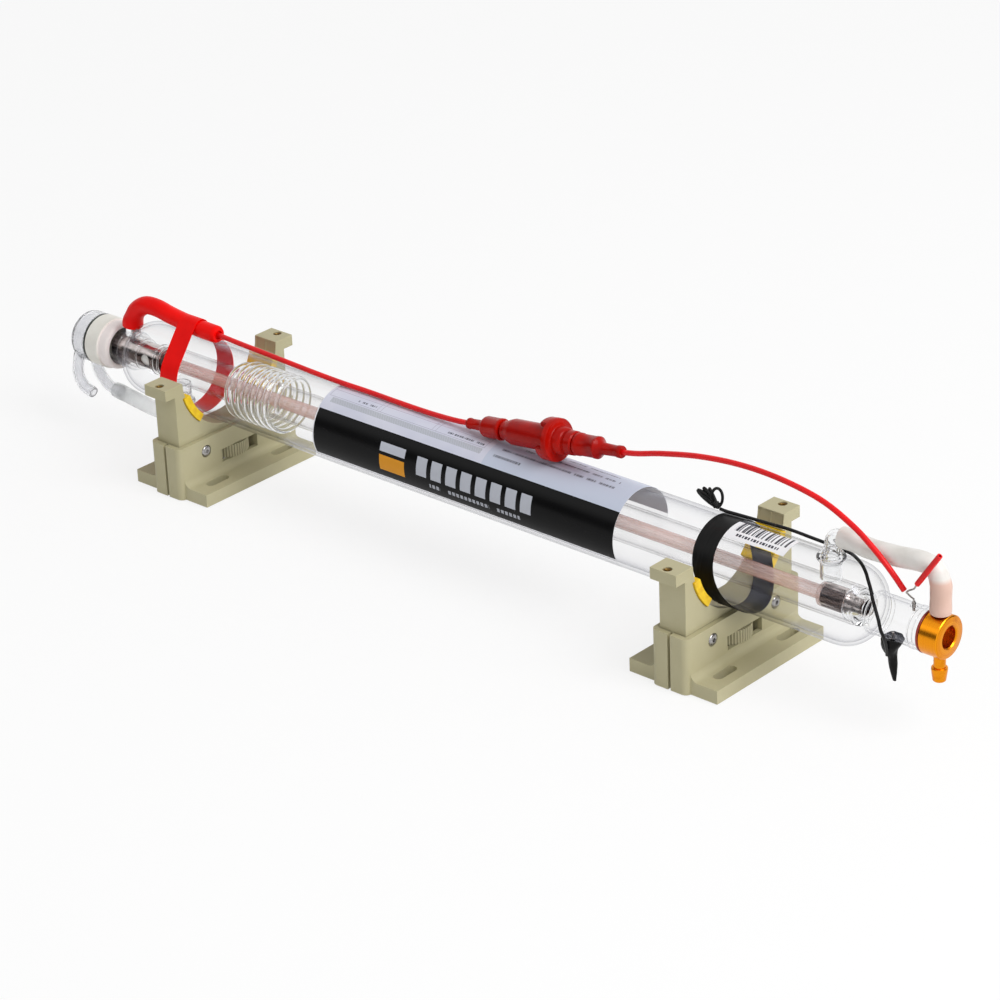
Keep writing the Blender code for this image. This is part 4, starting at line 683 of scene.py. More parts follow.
def combined(target, bm, operation="DIFFERENCE"):
    """A shape taken away from a piece for good, or melted into it with UNION."""
    tool_mesh = bpy.data.meshes.new("tool")
    bmesh.ops.recalc_face_normals(bm, faces=bm.faces)
    bm.to_mesh(tool_mesh)
    bm.free()
    tool = added("tool", tool_mesh)
    modifier = target.modifiers.new("shape", "BOOLEAN")
    modifier.object = tool
    modifier.operation = operation
    modifier.solver = "EXACT"
    mesh = bpy.data.meshes.new_from_object(target.evaluated_get(bpy.context.evaluated_depsgraph_get()))
    target.modifiers.clear()
    target.data = mesh
    bpy.data.objects.remove(tool, do_unlink=True)
    smoothed(mesh)


outline = profile(REAR, [(-37.0, 7.9), (-37.0, 8.35), (-36.75, 8.6), (5.75, 8.6), (6.0, 8.35), (6.0, 4.5), (5.3, 4.5),
                         (5.3, 7.9)])
anode_sleeve = finished("anode_sleeve", turned(outline, segments=64), dull_nickel, 30)
vent = profile(0, [(-20, 0), (-20, 4.2), (20, 4.2), (20, 0)])
combined(anode_sleeve, turned(vent, "Y", (REAR - 4.6 * MM, 0, AXIS_Z), 32))
mounted(anode_sleeve, TUBE, "nickel", "rear_electrode")

# A white tube inside the anode sleeve stands in for the highlight seen through the vent: a painted highlight.
vent_highlight_finish = mottled("vent_highlight_white", (0.90, 0.89, 0.86), (0.76, 0.74, 0.70), (140.0, 3.0), (0.3, 0.7), (0.4, 0.2),
                0.06 * MM, 0.4)
outline = profile(REAR, [(-13, 7.0), (-13, 7.6), (4, 7.6), (4, 7.0)])
mounted(finished("vent_highlight_tube", turned(outline, segments=48), vent_highlight_finish), TUBE, "white_ceramic")

outline = profile(FRONT, [(-14.6, 4.5), (-14.6, 7.05), (-14.35, 7.3), (-0.5, 7.3), (0.1, 7.1), (2.0, 5.2), (2.5, 5.0),
                          (11.8, 5.0), (12.4, 5.35), (13.0, 5.0), (13.0, 4.3), (2.5, 4.3), (-0.5, 6.6), (-13.9, 6.6),
                          (-13.9, 4.5)])
mounted(finished("cathode_sleeve", turned(outline, segments=64), dull_nickel, 30), TUBE, "nickel", "front_electrode")
# The discharge tube's end is flared to the sleeve's width.
outline = profile(FRONT, [(-18.4, 4.3), (-18.0, 6.2), (-17.2, 7.2), (-14.9, 7.4), (-14.8, 6.4), (-16.6, 6.2),
                          (-17.2, 5.2), (-17.4, 4.3)])
mounted(finished("bore_flare", turned(outline, segments=64), pink_glass), TUBE, "pink_glass")

tinned = mottled("tinned_wire", (0.22, 0.20, 0.19), (0.58, 0.55, 0.52), (700.0, 3.0), (0.35, 0.65), (0.28, 0.25),
                 0.08 * MM, metallic=1.0)
for node_name in ("anode_pin", "cathode_pin", "neck_pin"):
    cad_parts[node_name].material_slots[0].material = tinned.owner

fused = bmesh.new()
for x, side, swell in ((31.3, -1, 2.4), (45.2, 1, 2.2)):
    seal = [(0, 0), (0, swell), (0.9, 0.8 * swell), (1.9, 1.25), (2.6, 1.1), (2.9, 0.82), (2.9, 0)]
    turned(profile(0, [(side * (11.8 + up), out) for up, out in seal]), "Z", (FRONT + x * MM, 0, AXIS_Z), 24,
           into=fused)
# The anode pin stands in a short glass tubulation, and fused seams ring both necks and the jacket's rear end.
tubulation = profile(0, [(11.5, 0), (11.5, 5.0), (13.2, 5.0), (14.2, 4.9), (15.0, 4.9), (21.0, 4.9), (21.8, 4.4),
                         (22.0, 0.85), (15.4, 0.85), (15.4, 0)])
turned(tubulation, "Z", (REAR - 23.0 * MM, 0, AXIS_Z), 40, into=fused)
for end, along, radius, thick in ((FRONT, 20.6, 12.5, 0.55), (FRONT, 23.4, 12.3, 0.35), (FRONT, 49.3, 12.3, 0.45),
                                  (FRONT, 52.6, 12.3, 0.30), (REAR, -20.4, 12.5, 0.60), (REAR, -27.5, 12.3, 0.30),
                                  (REAR, -12.4, 9.7, 0.75), (REAR, 3.4, 9.7, 0.80), (REAR, 8.4, 9.4, 0.70)):
    turned(profile(end, bend((along, radius), thick, 0, 315, 7)), segments=96, into=fused)
mounted(finished("fused_glass", fused, clear_rod, 60), TUBE, "clear_glass")

# The jacket's front end is drawn in to the electrode as a thick swirl of glass.
swirl = profile(FRONT + 14.6 * MM, [
    (-11.6, 9.8), (-10.2, 9.9), (-9.0, 8.7), (-7.8, 9.8), (-6.4, 9.6), (-5.6, 8.5), (-4.4, 11.2), (-2.6, 10.9),
    (-0.9, 9.6), (0.0, 7.8), (0.1, 6.4), (-0.7, 5.5), (-2.2, 5.6), (-2.6, 6.6), (-3.4, 6.8), (-4.4, 7.4), (-6.4, 7.0),
    (-8.6, 7.6), (-10.6, 7.7), (-11.6, 8.4)])
mounted(finished("jacket_swirl", turned(swirl, segments=80), clear_rod, 60), TUBE, "clear_glass")

# ---- The output head ----
# A gold anodised aluminium head that holds the output window and is cooled by water. It is clamped on the
# neck's end over a dark red gasket. Two turned hose barbs are screwed in, above and below.

barb_x = FRONT + 63.15 * MM


def off_axis(y_mm, z_mm):
    """How far the surface lies from the tube's axis, in mm."""
    return (y_mm ** 2.0 + (z_mm - AXIS_Z / MM) ** 2.0) ** 0.5


gold = Finish("gold_anodised")
x_mm, y_mm, z_mm = gold.axes()
lathe = gold.grain(2.4, 4.0, 0.6, gold.node("CombineXYZ", inputs={0: x_mm, 1: off_axis(y_mm, z_mm)}))
cloud = gold.grain(150.0, 3.0)
gold.coat(
    base_color=gold.blend(gold.blend((0.76, 0.235, 0.006), (0.90, 0.34, 0.014), lathe.ramp(0.3, 0.7)),
                          (0.55, 0.15, 0.005), cloud.ramp(0.55, 0.8)),
    metallic=1.0,
    roughness=0.20 + lathe * 0.12,
    normal=gold.relief(lathe, 0.03 * MM, 0.4))

outline = profile(FRONT, [(56.8, 10.4), (56.8, 12.4), (57.3, 12.9), (68.7, 12.9), (69.3, 12.4), (69.5, 12.0),
                          (69.5, 7.2), (68.8, 6.5), (60.1, 6.5), (60.1, 10.4)])
mounted(finished("window_head", turned(outline, segments=128), gold), TUBE, "gold_anodised", "output_head")

barbs = bmesh.new()
barb = [(12.1, 1.9), (12.1, 3.9), (13.5, 3.9), (13.9, 3.5), (20.1, 3.5), (20.25, 4.5), (20.6, 4.7), (21.8, 4.72),
        (24.6, 4.35), (28.2, 3.85), (28.7, 3.4), (28.7, 1.9)]
for side in (1, -1):
    turned(profile(0, [(side * up, out) for up, out in barb]), "Z", (barb_x, 0, AXIS_Z), 48, into=barbs)
mounted(finished("hose_barbs", barbs, gold, 30), TUBE, "gold_anodised", "inlet_barb", "outlet_barb")

gasket_rubber = mottled("gasket_rubber", (0.20, 0.012, 0.006), (0.38, 0.03, 0.012), (300.0, 3.0), (0.3, 0.7),
                        (0.35, 0.2), 0.06 * MM)
outline = profile(FRONT, [(55.2, 10.4), (55.2, 12.6), (55.55, 12.95), (56.25, 12.95), (56.6, 12.6), (56.6, 10.4)])
mounted(finished("neck_gasket", turned(outline), gasket_rubber), TUBE, "gasket_red", "head_gasket")

crystal = mottled("window_crystal", (0.42, 0.17, 0.03), (0.30, 0.11, 0.02), (220.0, 2.0), (0.0, 1.0), (0.05, 0.04),
                  0.01 * MM, 0.2, coat_weight=0.6)
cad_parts["output_window"].material_slots[0].material = crystal.owner

# ---- The mirror end ----
# A cream ceramic-like adaptor is glued on the rear neck and carries the mirror. A clear glass water cup is
# sealed to it with a thin dark ring. The cup has two bent nozzles: one is open and one feeds the hose.

ceramic = Finish("cream_adaptor")
x_mm, y_mm, z_mm = ceramic.axes()
stain = ceramic.grain(70.0, 4.0, 0.6)
fine = ceramic.grain(900.0, 2.0)
ceramic.coat(
    base_color=ceramic.blend(
        ceramic.blend((0.80, 0.775, 0.70), (0.87, 0.855, 0.80), stain.ramp(0.3, 0.7)),
        (0.90, 0.83, 0.81), x_mm.ramp(-324.4, -323.6)),
    roughness=0.38 + stain * 0.2,
    normal=ceramic.relief(fine + stain, 0.05 * MM, 0.4))
seat = REAR - 54.0 * MM
outline = profile(seat, [(0, 12.7), (0, 16.8), (0.4, 17.2), (11.5, 17.2), (11.9, 16.9), (12.2, 16.0),
                         *bend((17.6, 13.6), 2.4, 90, 0, 8), (20.0, 13.0), (19.6, 12.7)])
mounted(finished("neck_adaptor", turned(outline, segments=128), ceramic, 30), TUBE, "white_ceramic", "rear_adaptor")

seal_rubber = mottled("seal_rubber", (0.012, 0.016, 0.012), (0.04, 0.05, 0.04), (400.0, 2.0), (0.4, 0.7), (0.4, 0.2),
                      0.05 * MM)
outline = profile(seat, [(-1.8, 13.0), (-1.8, 16.8), (-1.4, 17.1), (-0.6, 17.1), (-0.2, 16.8), (-0.2, 13.0)])
mounted(finished("cup_seal", turned(outline), seal_rubber), TUBE, "black_rubber", "cap_seal")

mirror = mottled("mirror_coat", (0.80, 0.79, 0.74), (0.70, 0.69, 0.66), (200.0, 2.0), (0.0, 1.0), (0.08, 0.06),
                 0.01 * MM, 0.2, metallic=1.0)
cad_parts["rear_mirror"].material_slots[0].material = mirror.owner

cup_glass = mottled("cup_glass", (0.965, 0.967, 0.985), (0.91, 0.915, 0.945), (110.0, 2.0), (0.4, 0.8), (0.10, 0.10),
                    0.03 * MM, 0.3, ior=1.36, transmission_weight=0.84)
CUP_RADIUS, CUP_WALL = 17.0 * MM, 2.2 * MM
CUP_ROUND, INNER_ROUND = 4.0 * MM, 1.8 * MM
cup_mouth, cup_back = REAR - 56.0 * MM, REAR - 69.5 * MM
outline = [(cup_mouth, 0.0), (cup_mouth, CUP_RADIUS - 0.5 * MM), (cup_mouth - 0.5 * MM, CUP_RADIUS)]
outline += [(cup_back + CUP_ROUND + a, CUP_RADIUS - CUP_ROUND + r) for a, r in bend((0, 0), CUP_ROUND, 90, 180, 8)]
outline += [(cup_back, 0.0)]
water_cup = finished("water_cup", turned(outline, segments=96), cup_glass)
free_nozzle = smooth_route(placed(cup_back, [(6, -12, -5), (5.3, -14, -11), (4.3, -15, -22), (9, -15, -30.5),
                                             (18, -15, -33.2)]), 1.6 * MM)
fed_nozzle = smooth_route(placed(cup_back, [(6, 0, -11), (6.3, 0, -19), (9.5, 0, -27), (17.5, 0, -33.5),
                                            (29.5, 0, -35.4)]), 1.6 * MM)
for nozzle in (free_nozzle, fed_nozzle):
    combined(water_cup, swept(nozzle, [3.8 * MM] * (len(nozzle) - 1) + [3.5 * MM], 28), "UNION")
hollow = [(cup_mouth + MM, 0.0), (cup_mouth + MM, CUP_RADIUS - CUP_WALL)]
hollow += [(cup_back + CUP_ROUND + a, CUP_RADIUS - CUP_ROUND + r) for a, r in bend((0, 0), INNER_ROUND, 90, 180, 6)]
combined(water_cup, turned(hollow + [(cup_back + CUP_WALL, 0.0)], segments=96))
for nozzle in (free_nozzle, fed_nozzle):
    bore_line = nozzle[2:] + [nozzle[-1] + (nozzle[-1] - nozzle[-2]).normalized() * MM]
    combined(water_cup, swept(bore_line, [2.4 * MM] * len(bore_line), 24))
mounted(water_cup, TUBE, "cap_glass", "rear_cap")

# ---- The water nipples and hoses ----
# A glass nipple stands on the barrel near each end, fused to it in a puddled ring, with an elbow. A milky
# silicone hose joins the front one to the head and a clearer one joins the rear one to the cup's nozzle.


def by_stops(route, stops):
    """A radius for each route point from (share of the length, radius in mm) stops."""
    lengths = lengths_along(route)
    radii = []
    for length in lengths:
        share = length / lengths[-1]
        for (s0, r0), (s1, r1) in zip(stops, stops[1:]):
            if share <= s1 + 1e-9:
                blend = (share - s0) / (s1 - s0)
                radii.append((r0 + (r1 - r0) * (3 * blend ** 2 - 2 * blend ** 3)) * MM)
                break
    return radii


NIPPLE_STEPS = ((-13.0, 6.5, 5.2), (-4.0, 6.5, 5.2), (-2.6, 7.0, 5.1), (-1.4, 8.1, 4.9), (-0.3, 8.6, 4.6),
                (0.6, 8.5, 4.2), (1.1, 7.7, 4.0), (1.5, 7.8, 3.9), (2.1, 7.3, 3.7), (2.5, 6.4, 3.5), (3.0, 6.5, 3.3),
                (3.6, 6.0, 3.1), (4.4, 5.2, 2.9), (5.6, 4.6, 2.7), (7.0, 4.2, 2.6))
ELBOW_BEND = 5.4


def nipple_at(name, x, side, turn, rise, node_name):
    """A fused base ring, a short neck and an elbow that turns along X."""
    elbow = bend((ELBOW_BEND, rise - ELBOW_BEND), ELBOW_BEND, 180, 90, 10)[1:]
    elbow += [(along, rise) for along in (7.5, 9.5, 11.5, 13.5, 14.6, 15.0)]
    route = [Vector((x + turn * along * MM, 0, AXIS_Z + side * (25.0 + up) * MM))
             for along, up in [(0, up) for up, radius, bore in NIPPLE_STEPS] + elbow]
    radii = [radius * MM for up, radius, bore in NIPPLE_STEPS] + [4.0 * MM] * 15 + [3.7 * MM]
    bores = [bore * MM for up, radius, bore in NIPPLE_STEPS] + [2.6 * MM] * 16
    mounted(finished(name, swept(route, radii, 40, bores), clear_rod, 50), TUBE, "clear_glass", node_name)


nipple_at("front_elbow", FRONT - 11.5 * MM, 1, 1, 14.3, "front_nipple")
nipple_at("rear_elbow", REAR + 20.0 * MM, -1, -1, 13.5, "rear_nipple")

milky = Finish("milky_silicone")
x_mm, y_mm, z_mm = milky.axes()
skin = milky.grain(90.0, 4.0)
flush = (97.5 - z_mm).ramp(-1.5, 1.5) * x_mm.above(335.0)
milky.coat(
    base_color=milky.blend(milky.blend((0.74, 0.71, 0.66), (0.84, 0.82, 0.79), skin.ramp(0.3, 0.7)),
                           (0.70, 0.40, 0.30), flush * 0.75),
    roughness=0.26 + skin * 0.14,
    alpha=0.88 + skin * 0.08,
    specular_ior_level=0.35,
    normal=milky.relief(skin, 0.15 * MM, 0.5))
hose_line = smooth_route(
    [Vector((x * MM, 0, z * MM)) for x, z in ((277.7, 102.3), (286.5, 102.3), (297.5, 101.1), (315.5, 102.1),
                                             (332.65, 104.1), (341.65, 101.7), (345.15, 93.3), (345.15, 90.9),
                                             (345.15, 76.6))], 1.5 * MM)
outside = by_stops(hose_line, [(0.0, 6.3), (0.14, 6.0), (0.60, 6.0), (0.66, 5.75), (0.74, 5.9), (0.83, 6.25),
                               (0.90, 6.1), (0.98, 6.3), (1.0, 6.1)])
front_hose = mounted(finished("front_hose", swept(hose_line, outside, 40, [r - 1.0 * MM for r in outside]), milky, 50),
                     TUBE, "milky_silicone", "output_hose")
run_length(hose_line)

cloudy = Finish("cloudy_silicone")
x_mm, y_mm, z_mm = cloudy.axes()
skin = cloudy.grain(110.0, 4.0)
scratch = cloudy.grain(1.0, 5.0, 0.75, cloudy.stretched((900.0, 500.0, 300.0)))
worn = (1.0 - x_mm.ramp(-318.0, -300.0)) * scratch.ramp(0.48, 0.62)
cloudy.coat(
    base_color=cloudy.blend(cloudy.blend((0.93, 0.945, 0.95), (0.98, 0.985, 0.99), skin.ramp(0.3, 0.7)),
                            (0.38, 0.40, 0.39), worn * 0.7),
    roughness=0.25 + skin * 0.15 + worn * 0.2,
    transmission_weight=0.80,
    ior=1.20,
    alpha=(0.55 + skin * 0.2 + worn * 0.35).held(),
    normal=cloudy.relief(skin + worn, 0.2 * MM, 0.6))
sleeve_line = smooth_route([Vector((-269.5 * MM, 0, 24.5 * MM)), Vector((-278 * MM, 0, 24.5 * MM))]
                           + placed(cup_back, [(60.5, 0, -38.6), (48.5, 0, -37.6), (35.5, 0, -36), (29.5, 0, -35.4),
                                               (23.5, 0, -34.8)]), 1.5 * MM)
outside = by_stops(sleeve_line, [(0.0, 5.1), (0.8, 5.1), (0.93, 5.25), (1.0, 5.0)])
mounted(finished("rear_sleeve", swept(sleeve_line, outside, 36, [4.3 * MM] * len(outside)), cloudy, 50), TUBE,
        "clear_silicone", "rear_hose")

# ---- The red boot and its strap ----
# A soft silicone boot covers the anode pin and keeps the high voltage in. It is moulded with a flared foot
# and a mouth for the lead. A flat band cut from the same rubber holds it to the barrel.

red_rubber = Finish("red_silicone")
skin = red_rubber.grain(45.0, 4.0)
grime = red_rubber.grain(420.0, 3.0)
red_rubber.coat(
    base_color=red_rubber.blend((0.98, 0.003, 0.001), (0.80, 0.001, 0.001), skin.ramp(0.3, 0.7)),
    roughness=0.34 + skin * 0.18,
    specular_ior_level=0.13,
    normal=red_rubber.relief(grime + skin, 0.08 * MM, 0.5))
pin_x = REAR - 23.0 * MM
boot_line = smooth_route(placed(pin_x, [(0, 0, 18.2), (0.3, 0, 20), (1.5, 0, 23.5), (6, 0, 30.4), (15, 0, 36),
                                        (26, 0, 36.8), (38.4, 0, 34.9), (53, 0, 33.4), (65.7, 0, 32.5),
                                        (83, 0, 32.3)]), 1.6 * MM)
outside = by_stops(boot_line, [(0.0, 6.9), (0.02, 7.05), (0.10, 6.2), (0.5, 5.8), (0.6, 5.75), (0.90, 5.8),
                               (0.98, 5.75), (0.993, 5.45), (1.0, 4.8)])
pin_boot = finished("pin_boot", swept(boot_line, outside, 40), red_rubber, 50)
foot = profile(AXIS_Z + 18.2 * MM, [(-2, 0), (-2, 6.0), (0.4, 5.6), (4.2, 5.3), (4.2, 0)])
combined(pin_boot, turned(foot, "Z", (pin_x, 0, 0), 40))
outward = (boot_line[-1] - boot_line[-2]).normalized()
mouth = profile(0, [(-1.6, 1.75), (-1.6, 2.5), (1.0, 3.2), (1.0, 1.75)])
combined(pin_boot, turned(mouth, outward, boot_line[-1], 32))
mounted(pin_boot, TUBE, "red_silicone", "anode_boot")


def belt(first, first_radius, second, second_radius, steps):
    """The outline of a band pulled round two circles, the second above the first, in Y and Z."""
    lean = math.degrees(math.asin((first_radius - second_radius) / (second - first)))
    return (bend((0, first), first_radius, 180 - lean, 360 + lean, steps)
            + bend((0, second), second_radius, lean, 180 - lean, 16))


strap_rear, strap_front = REAR + 28.8 * MM, REAR + 44.0 * MM
strap = bmesh.new()
inner_loop = belt(AXIS_Z, 25.3 * MM, AXIS_Z + 32.9 * MM, 5.85 * MM, 72)
outer_loop = belt(AXIS_Z, 25.9 * MM, AXIS_Z + 32.9 * MM, 6.25 * MM, 72)
skinned(strap, [[strap.verts.new((x, y, z)) for x, (y, z) in
                 ((strap_rear, low), (strap_front, low), (strap_front, high), (strap_rear, high))]
                for low, high in zip(inner_loop, outer_loop)], closed=True)
mounted(finished("rubber_strap", strap, red_rubber, 50), TUBE, "red_silicone", "boot_strap")

# ---- The printed label, the sticker and the tape ----
# The label is printed film glued round the barrel: a black field below and a pale table field above it.
# The sticker carries bars. The tape is black PVC, wound once round the barrel to hold the wire.

FILM_MM = 25.6


def curved_film(name, finish, start_deg, end_deg, edges, high, steps):
    """A film round the barrel. edges(angle) gives its rear and front ends in X."""
    bm = bmesh.new()
    low = 25.3 * MM
    closed = end_deg - start_deg >= 360
    rings = []
    for i in range(steps if closed else steps + 1):
        angle = math.radians(start_deg + (end_deg - start_deg) * i / steps)
        rear, front = edges(angle)
        rings.append([bm.verts.new((x, r * math.cos(angle), AXIS_Z + r * math.sin(angle)))
                      for x, r in ((rear, low), (front, low), (front, high), (rear, high))])
    return finished(name, skinned(bm, rings, closed=closed), finish, 40)


def round_mm(finish, y_mm, z_mm):
    """Millimetres round the film from the +Y side over the top, and the distance from the axis."""
    angle = finish.node("Math", {"operation": "ARCTAN2"}, {0: z_mm - AXIS_Z / MM, 1: y_mm})
    return (angle % (2 * math.pi)) * FILM_MM, off_axis(y_mm, z_mm)


def arc_mm(degrees):
    return math.radians(degrees) * FILM_MM


def comb(x, period, share):
    """1 on the first share of each period and 0 on the rest."""
    return (x / period % 1.0).below(share)


def row_of_bars(x, v, x0, x1, degrees, height, group, stroke):
    """A row of small marks: groups of short bars."""
    wobble = (x * 1.9).wave() * 0.8
    start = arc_mm(degrees)
    return (x.between(x0, x1) * v.between(start, start + height) * comb(x + wobble, group, 0.84)
            * comb(x + wobble * 0.3, stroke, 0.62))


label = Finish("label_print")
x_mm, y_mm, z_mm = label.axes()
v_mm, out_mm = round_mm(label, y_mm, z_mm)
smudge = label.grain(30.0, 3.0)
ink = label.grain(500.0, 2.0)
hatch = (comb(x_mm + v_mm, 1.5, 0.5) + comb(x_mm - v_mm, 1.5, 0.5)) * 0.5
strip = x_mm.between(-109.0, 17.0) * v_mm.between(arc_mm(114.5), arc_mm(123.3))
LINE_HALF = 0.14
frame_lines = x_mm.between(-112.5, 17.0) * sum((v_mm - arc_mm(degrees)).size().below(LINE_HALF)
                                               for degrees in (112.6, 99.0, 82.0))
for stop in (-112.5, -72.4, -69.4, -26.0, -23.0, 17.0):
    frame_lines = frame_lines + (x_mm - stop).size().below(LINE_HALF) * v_mm.between(arc_mm(82.0), arc_mm(112.6))
# Each row: its ends in X and its start round the barrel, its height, and the periods of its groups and bars.
marks = sum(row_of_bars(x_mm, v_mm, *row) for row in (
    (-90.0, -73.8, 105.3, 1.5, 6.2, 1.15), (-14.5, 15.5, 105.6, 1.6, 8.5, 1.2), (26.5, 117.5, 102.4, 1.9, 9.5, 1.35),
    (27.0, 48.0, 116.4, 1.9, 6.8, 1.35), (40.0, 117.0, 89.2, 1.8, 10.5, 1.35), (50.0, 112.0, 76.0, 1.6, 8.0, 1.2)))
pale = label.blend((0.60, 0.62, 0.74), (0.68, 0.69, 0.79), smudge.ramp(0.35, 0.65))
pale = label.blend(pale, (0.56, 0.61, 0.73), x_mm.above(21.8))
# The purple patch blended into the table field near the connector is a painted reflection of the connector.
pale = label.blend(pale, (0.40, 0.34, 0.50), (v_mm.ramp(arc_mm(112.0), arc_mm(92.0)) * x_mm.ramp(10.0, 34.0)
                                              * (1.0 - x_mm.ramp(70.0, 118.0))) * 0.45)
pale = label.blend(pale, (0.36, 0.38, 0.40), strip * (0.25 + hatch * 0.6))
pale = label.blend(pale, (0.30, 0.28, 0.36), frame_lines.held() * 0.8)
pale = label.blend(pale, (0.05, 0.05, 0.07), marks.held() * 0.9)
black_part = v_mm.between(arc_mm(136.0), arc_mm(205.4)) * x_mm.above(-113.7)
print_colour = label.blend(pale, (0.86, 0.86, 0.90), v_mm.above(arc_mm(136.0)))
print_colour = label.blend(print_colour, label.blend((0.002, 0.002, 0.0022), (0.006, 0.006, 0.0065), smudge),
                           black_part)
# Plain silver bars and one orange field fill the black part.
blocks = comb(x_mm + 26.0, 12.1, 0.70) * x_mm.between(-26.0, 69.5) * v_mm.between(arc_mm(154.5), arc_mm(181.5))
small = row_of_bars(x_mm, v_mm, -15.5, 58.0, 189.0, 2.6, 40.0, 3.3)
field = x_mm.between(-57.0, -36.0)
for colour, share in (((0.50, 0.52, 0.58), (blocks + small * 0.8).held()),
                      ((0.55, 0.57, 0.64), field * v_mm.between(arc_mm(152.0), arc_mm(165.0))),
                      ((0.72, 0.30, 0.02), field * v_mm.between(arc_mm(170.0), arc_mm(193.0)))):
    print_colour = label.blend(print_colour, colour, share)
label.coat(
    base_color=label.blend(print_colour, (0.64, 0.64, 0.67), out_mm.below(25.45)),
    roughness=0.18 + smudge * 0.10 + ink * 0.05,
    specular_ior_level=0.10,
    # Below the black field the film has only a narrow white edge and goes on clear.
    alpha=1.0 - v_mm.above(arc_mm(207.0)) * 0.93,
    normal=label.relief(smudge + ink * 0.1, 0.1 * MM, 0.25))
label_ends = (REAR + 167.5 * MM, FRONT - 151.2 * MM)
mounted(curved_film("printed_label", label, -6, 228, lambda angle: label_ends, 25.6 * MM, 112), TUBE, "label_print",
        "label_wrap")

sticker = Finish("bar_sticker")
x_mm, y_mm, z_mm = sticker.axes()
v_mm, out_mm = round_mm(sticker, y_mm, z_mm)
wrinkle = sticker.grain(60.0, 3.0)
wobble = (x_mm * 2.7).wave() * 0.34 + (x_mm * 0.9).wave() * 0.4
bars = comb(x_mm + wobble, 2.3, 0.60) * x_mm.between(206.5, 243.5) * v_mm.between(arc_mm(84.0), arc_mm(105.0))
marks = row_of_bars(x_mm, v_mm, 209.0, 240.0, 109.0, 2.0, 50.0, 2.1)
edge_line = x_mm.between(226.0, 240.0) * v_mm.above(arc_mm(118.2))
paper_white = sticker.blend((0.84, 0.84, 0.88), (0.93, 0.93, 0.94), wrinkle)
printed = sticker.blend(paper_white, (0.015, 0.015, 0.03), (bars + marks).held())
printed = sticker.blend(printed, (0.86, 0.66, 0.05), edge_line)
sticker.coat(
    base_color=sticker.blend(printed, (0.45, 0.45, 0.46), out_mm.below(25.45)),
    roughness=0.35 + wrinkle * 0.15,
    normal=sticker.relief(wrinkle, 0.1 * MM, 0.4))
sticker_ends = (FRONT - 78.7 * MM, FRONT - 36.0 * MM)
mounted(curved_film("bar_code_sticker", sticker, 84, 119, lambda angle: sticker_ends, 25.55 * MM, 20), TUBE,
        "sticker_paper", "serial_sticker")

tape = Finish("black_tape")
x_mm, y_mm, z_mm = tape.axes()
stretch = tape.grain(1.0, 3.0, 0.6, tape.stretched((900.0, 60.0, 60.0)))
tape.coat(
    base_color=tape.blend(tape.blend((0.003, 0.003, 0.003), (0.009, 0.009, 0.009), stretch.ramp(0.35, 0.7)),
                          (0.03, 0.03, 0.033), off_axis(y_mm, z_mm).below(25.4)),
    roughness=0.28 + stretch * 0.2,
    specular_ior_level=0.12,
    normal=tape.relief(stretch, 0.1 * MM, 0.5))


def tape_edges(angle):
    """The tape runs a little askew: it comes forward low on the -Y side."""
    low = 0.5 + 0.5 * math.cos(angle + math.pi / 2)
    middle = FRONT + (-86.6 + 17.8 * low ** 2.2) * MM
    return middle - 7.5 * MM, middle + 7.5 * MM


mounted(curved_film("wire_tape", tape, 0, 360, tape_edges, 25.65 * MM, 120), TUBE, "black_tape", "tape_band")

# ---- The in-line connector ----
# Two soft red boots and a moulded coupler join the two runs of the lead. The coupler's flange carries
# bayonet hooks. All three are solids of revolution round the lead's own line.

plug_red = Finish("plug_red")
sheen = plug_red.grain(70.0, 3.0)
grime = plug_red.grain(600.0, 2.0)
plug_red.coat(
    base_color=plug_red.blend((0.44, 0.005, 0.001), (0.31, 0.002, 0.001), sheen.ramp(0.35, 0.7)),
    roughness=0.15 + sheen * 0.12 + grime * 0.06,
    specular_ior_level=0.13,
    normal=plug_red.relief(grime, 0.00005, 0.5))


def lathed(outline_mm):
    """A solid of revolution round the connector's line, from (along, radius) in mm."""
    return turned(profile(0, outline_mm), line_up, plug_start, 72)


end = plug_length / MM
plug_boot = [(0, 1.75), (0, 2.9), (0.6, 3.4), (1.9, 3.55), (2.7, 3.2), (11.2, 3.4), (12.6, 4.0), (13.8, 5.5),
             (14.8, 6.25), (16.0, 6.6), (26.4, 6.6), (26.8, 6.8), (28.4, 6.8), (29.0, 6.5), (29.2, 5.7), (29.2, 4.6),
             (30.0, 4.6), (30.0, 0), (8, 0), (8, 1.75)]
coupler = [(30.3, 0), (30.3, 5.5), (30.7, 5.9), (34.2, 5.9), (34.7, 6.3), (34.9, 7.0), (37.4, 7.8), (38.6, 8.1),
           (69.9, 8.1), (69.9, 12.7), (70.4, 13.3), (73.4, 13.3), (74.0, 12.8), (74.0, 9.6), (74.6, 8.8), (79.4, 8.4),
           (80.2, 7.7), (80.6, 7.0), (82.4, 7.0), (83.0, 7.5), (87.2, 7.4), (88.0, 6.6), (88.0, 0)]
socket_boot = [(88.3, 0), (88.3, 5.9), (88.8, 6.7), (89.6, 7.0), (91.6, 7.0), (92.2, 6.6), (103.0, 6.6), (103.4, 6.85),
               (105.2, 6.85), (105.8, 6.3), (107.0, 4.8), (108.2, 4.1), (109.0, 3.7), (119.4, 3.4), (120.2, 3.75),
               (end - 0.8, 3.85), (end, 3.4), (end, 1.75), (116, 1.75), (116, 0)]
plug_piece = mounted(finished("plug_boot", lathed(plug_boot), plug_red, 40), TUBE, "red_plastic", "hv_plug_boot")
mounted(finished("socket_boot", lathed(socket_boot), plug_red, 40), TUBE, "red_plastic", "hv_socket_boot")

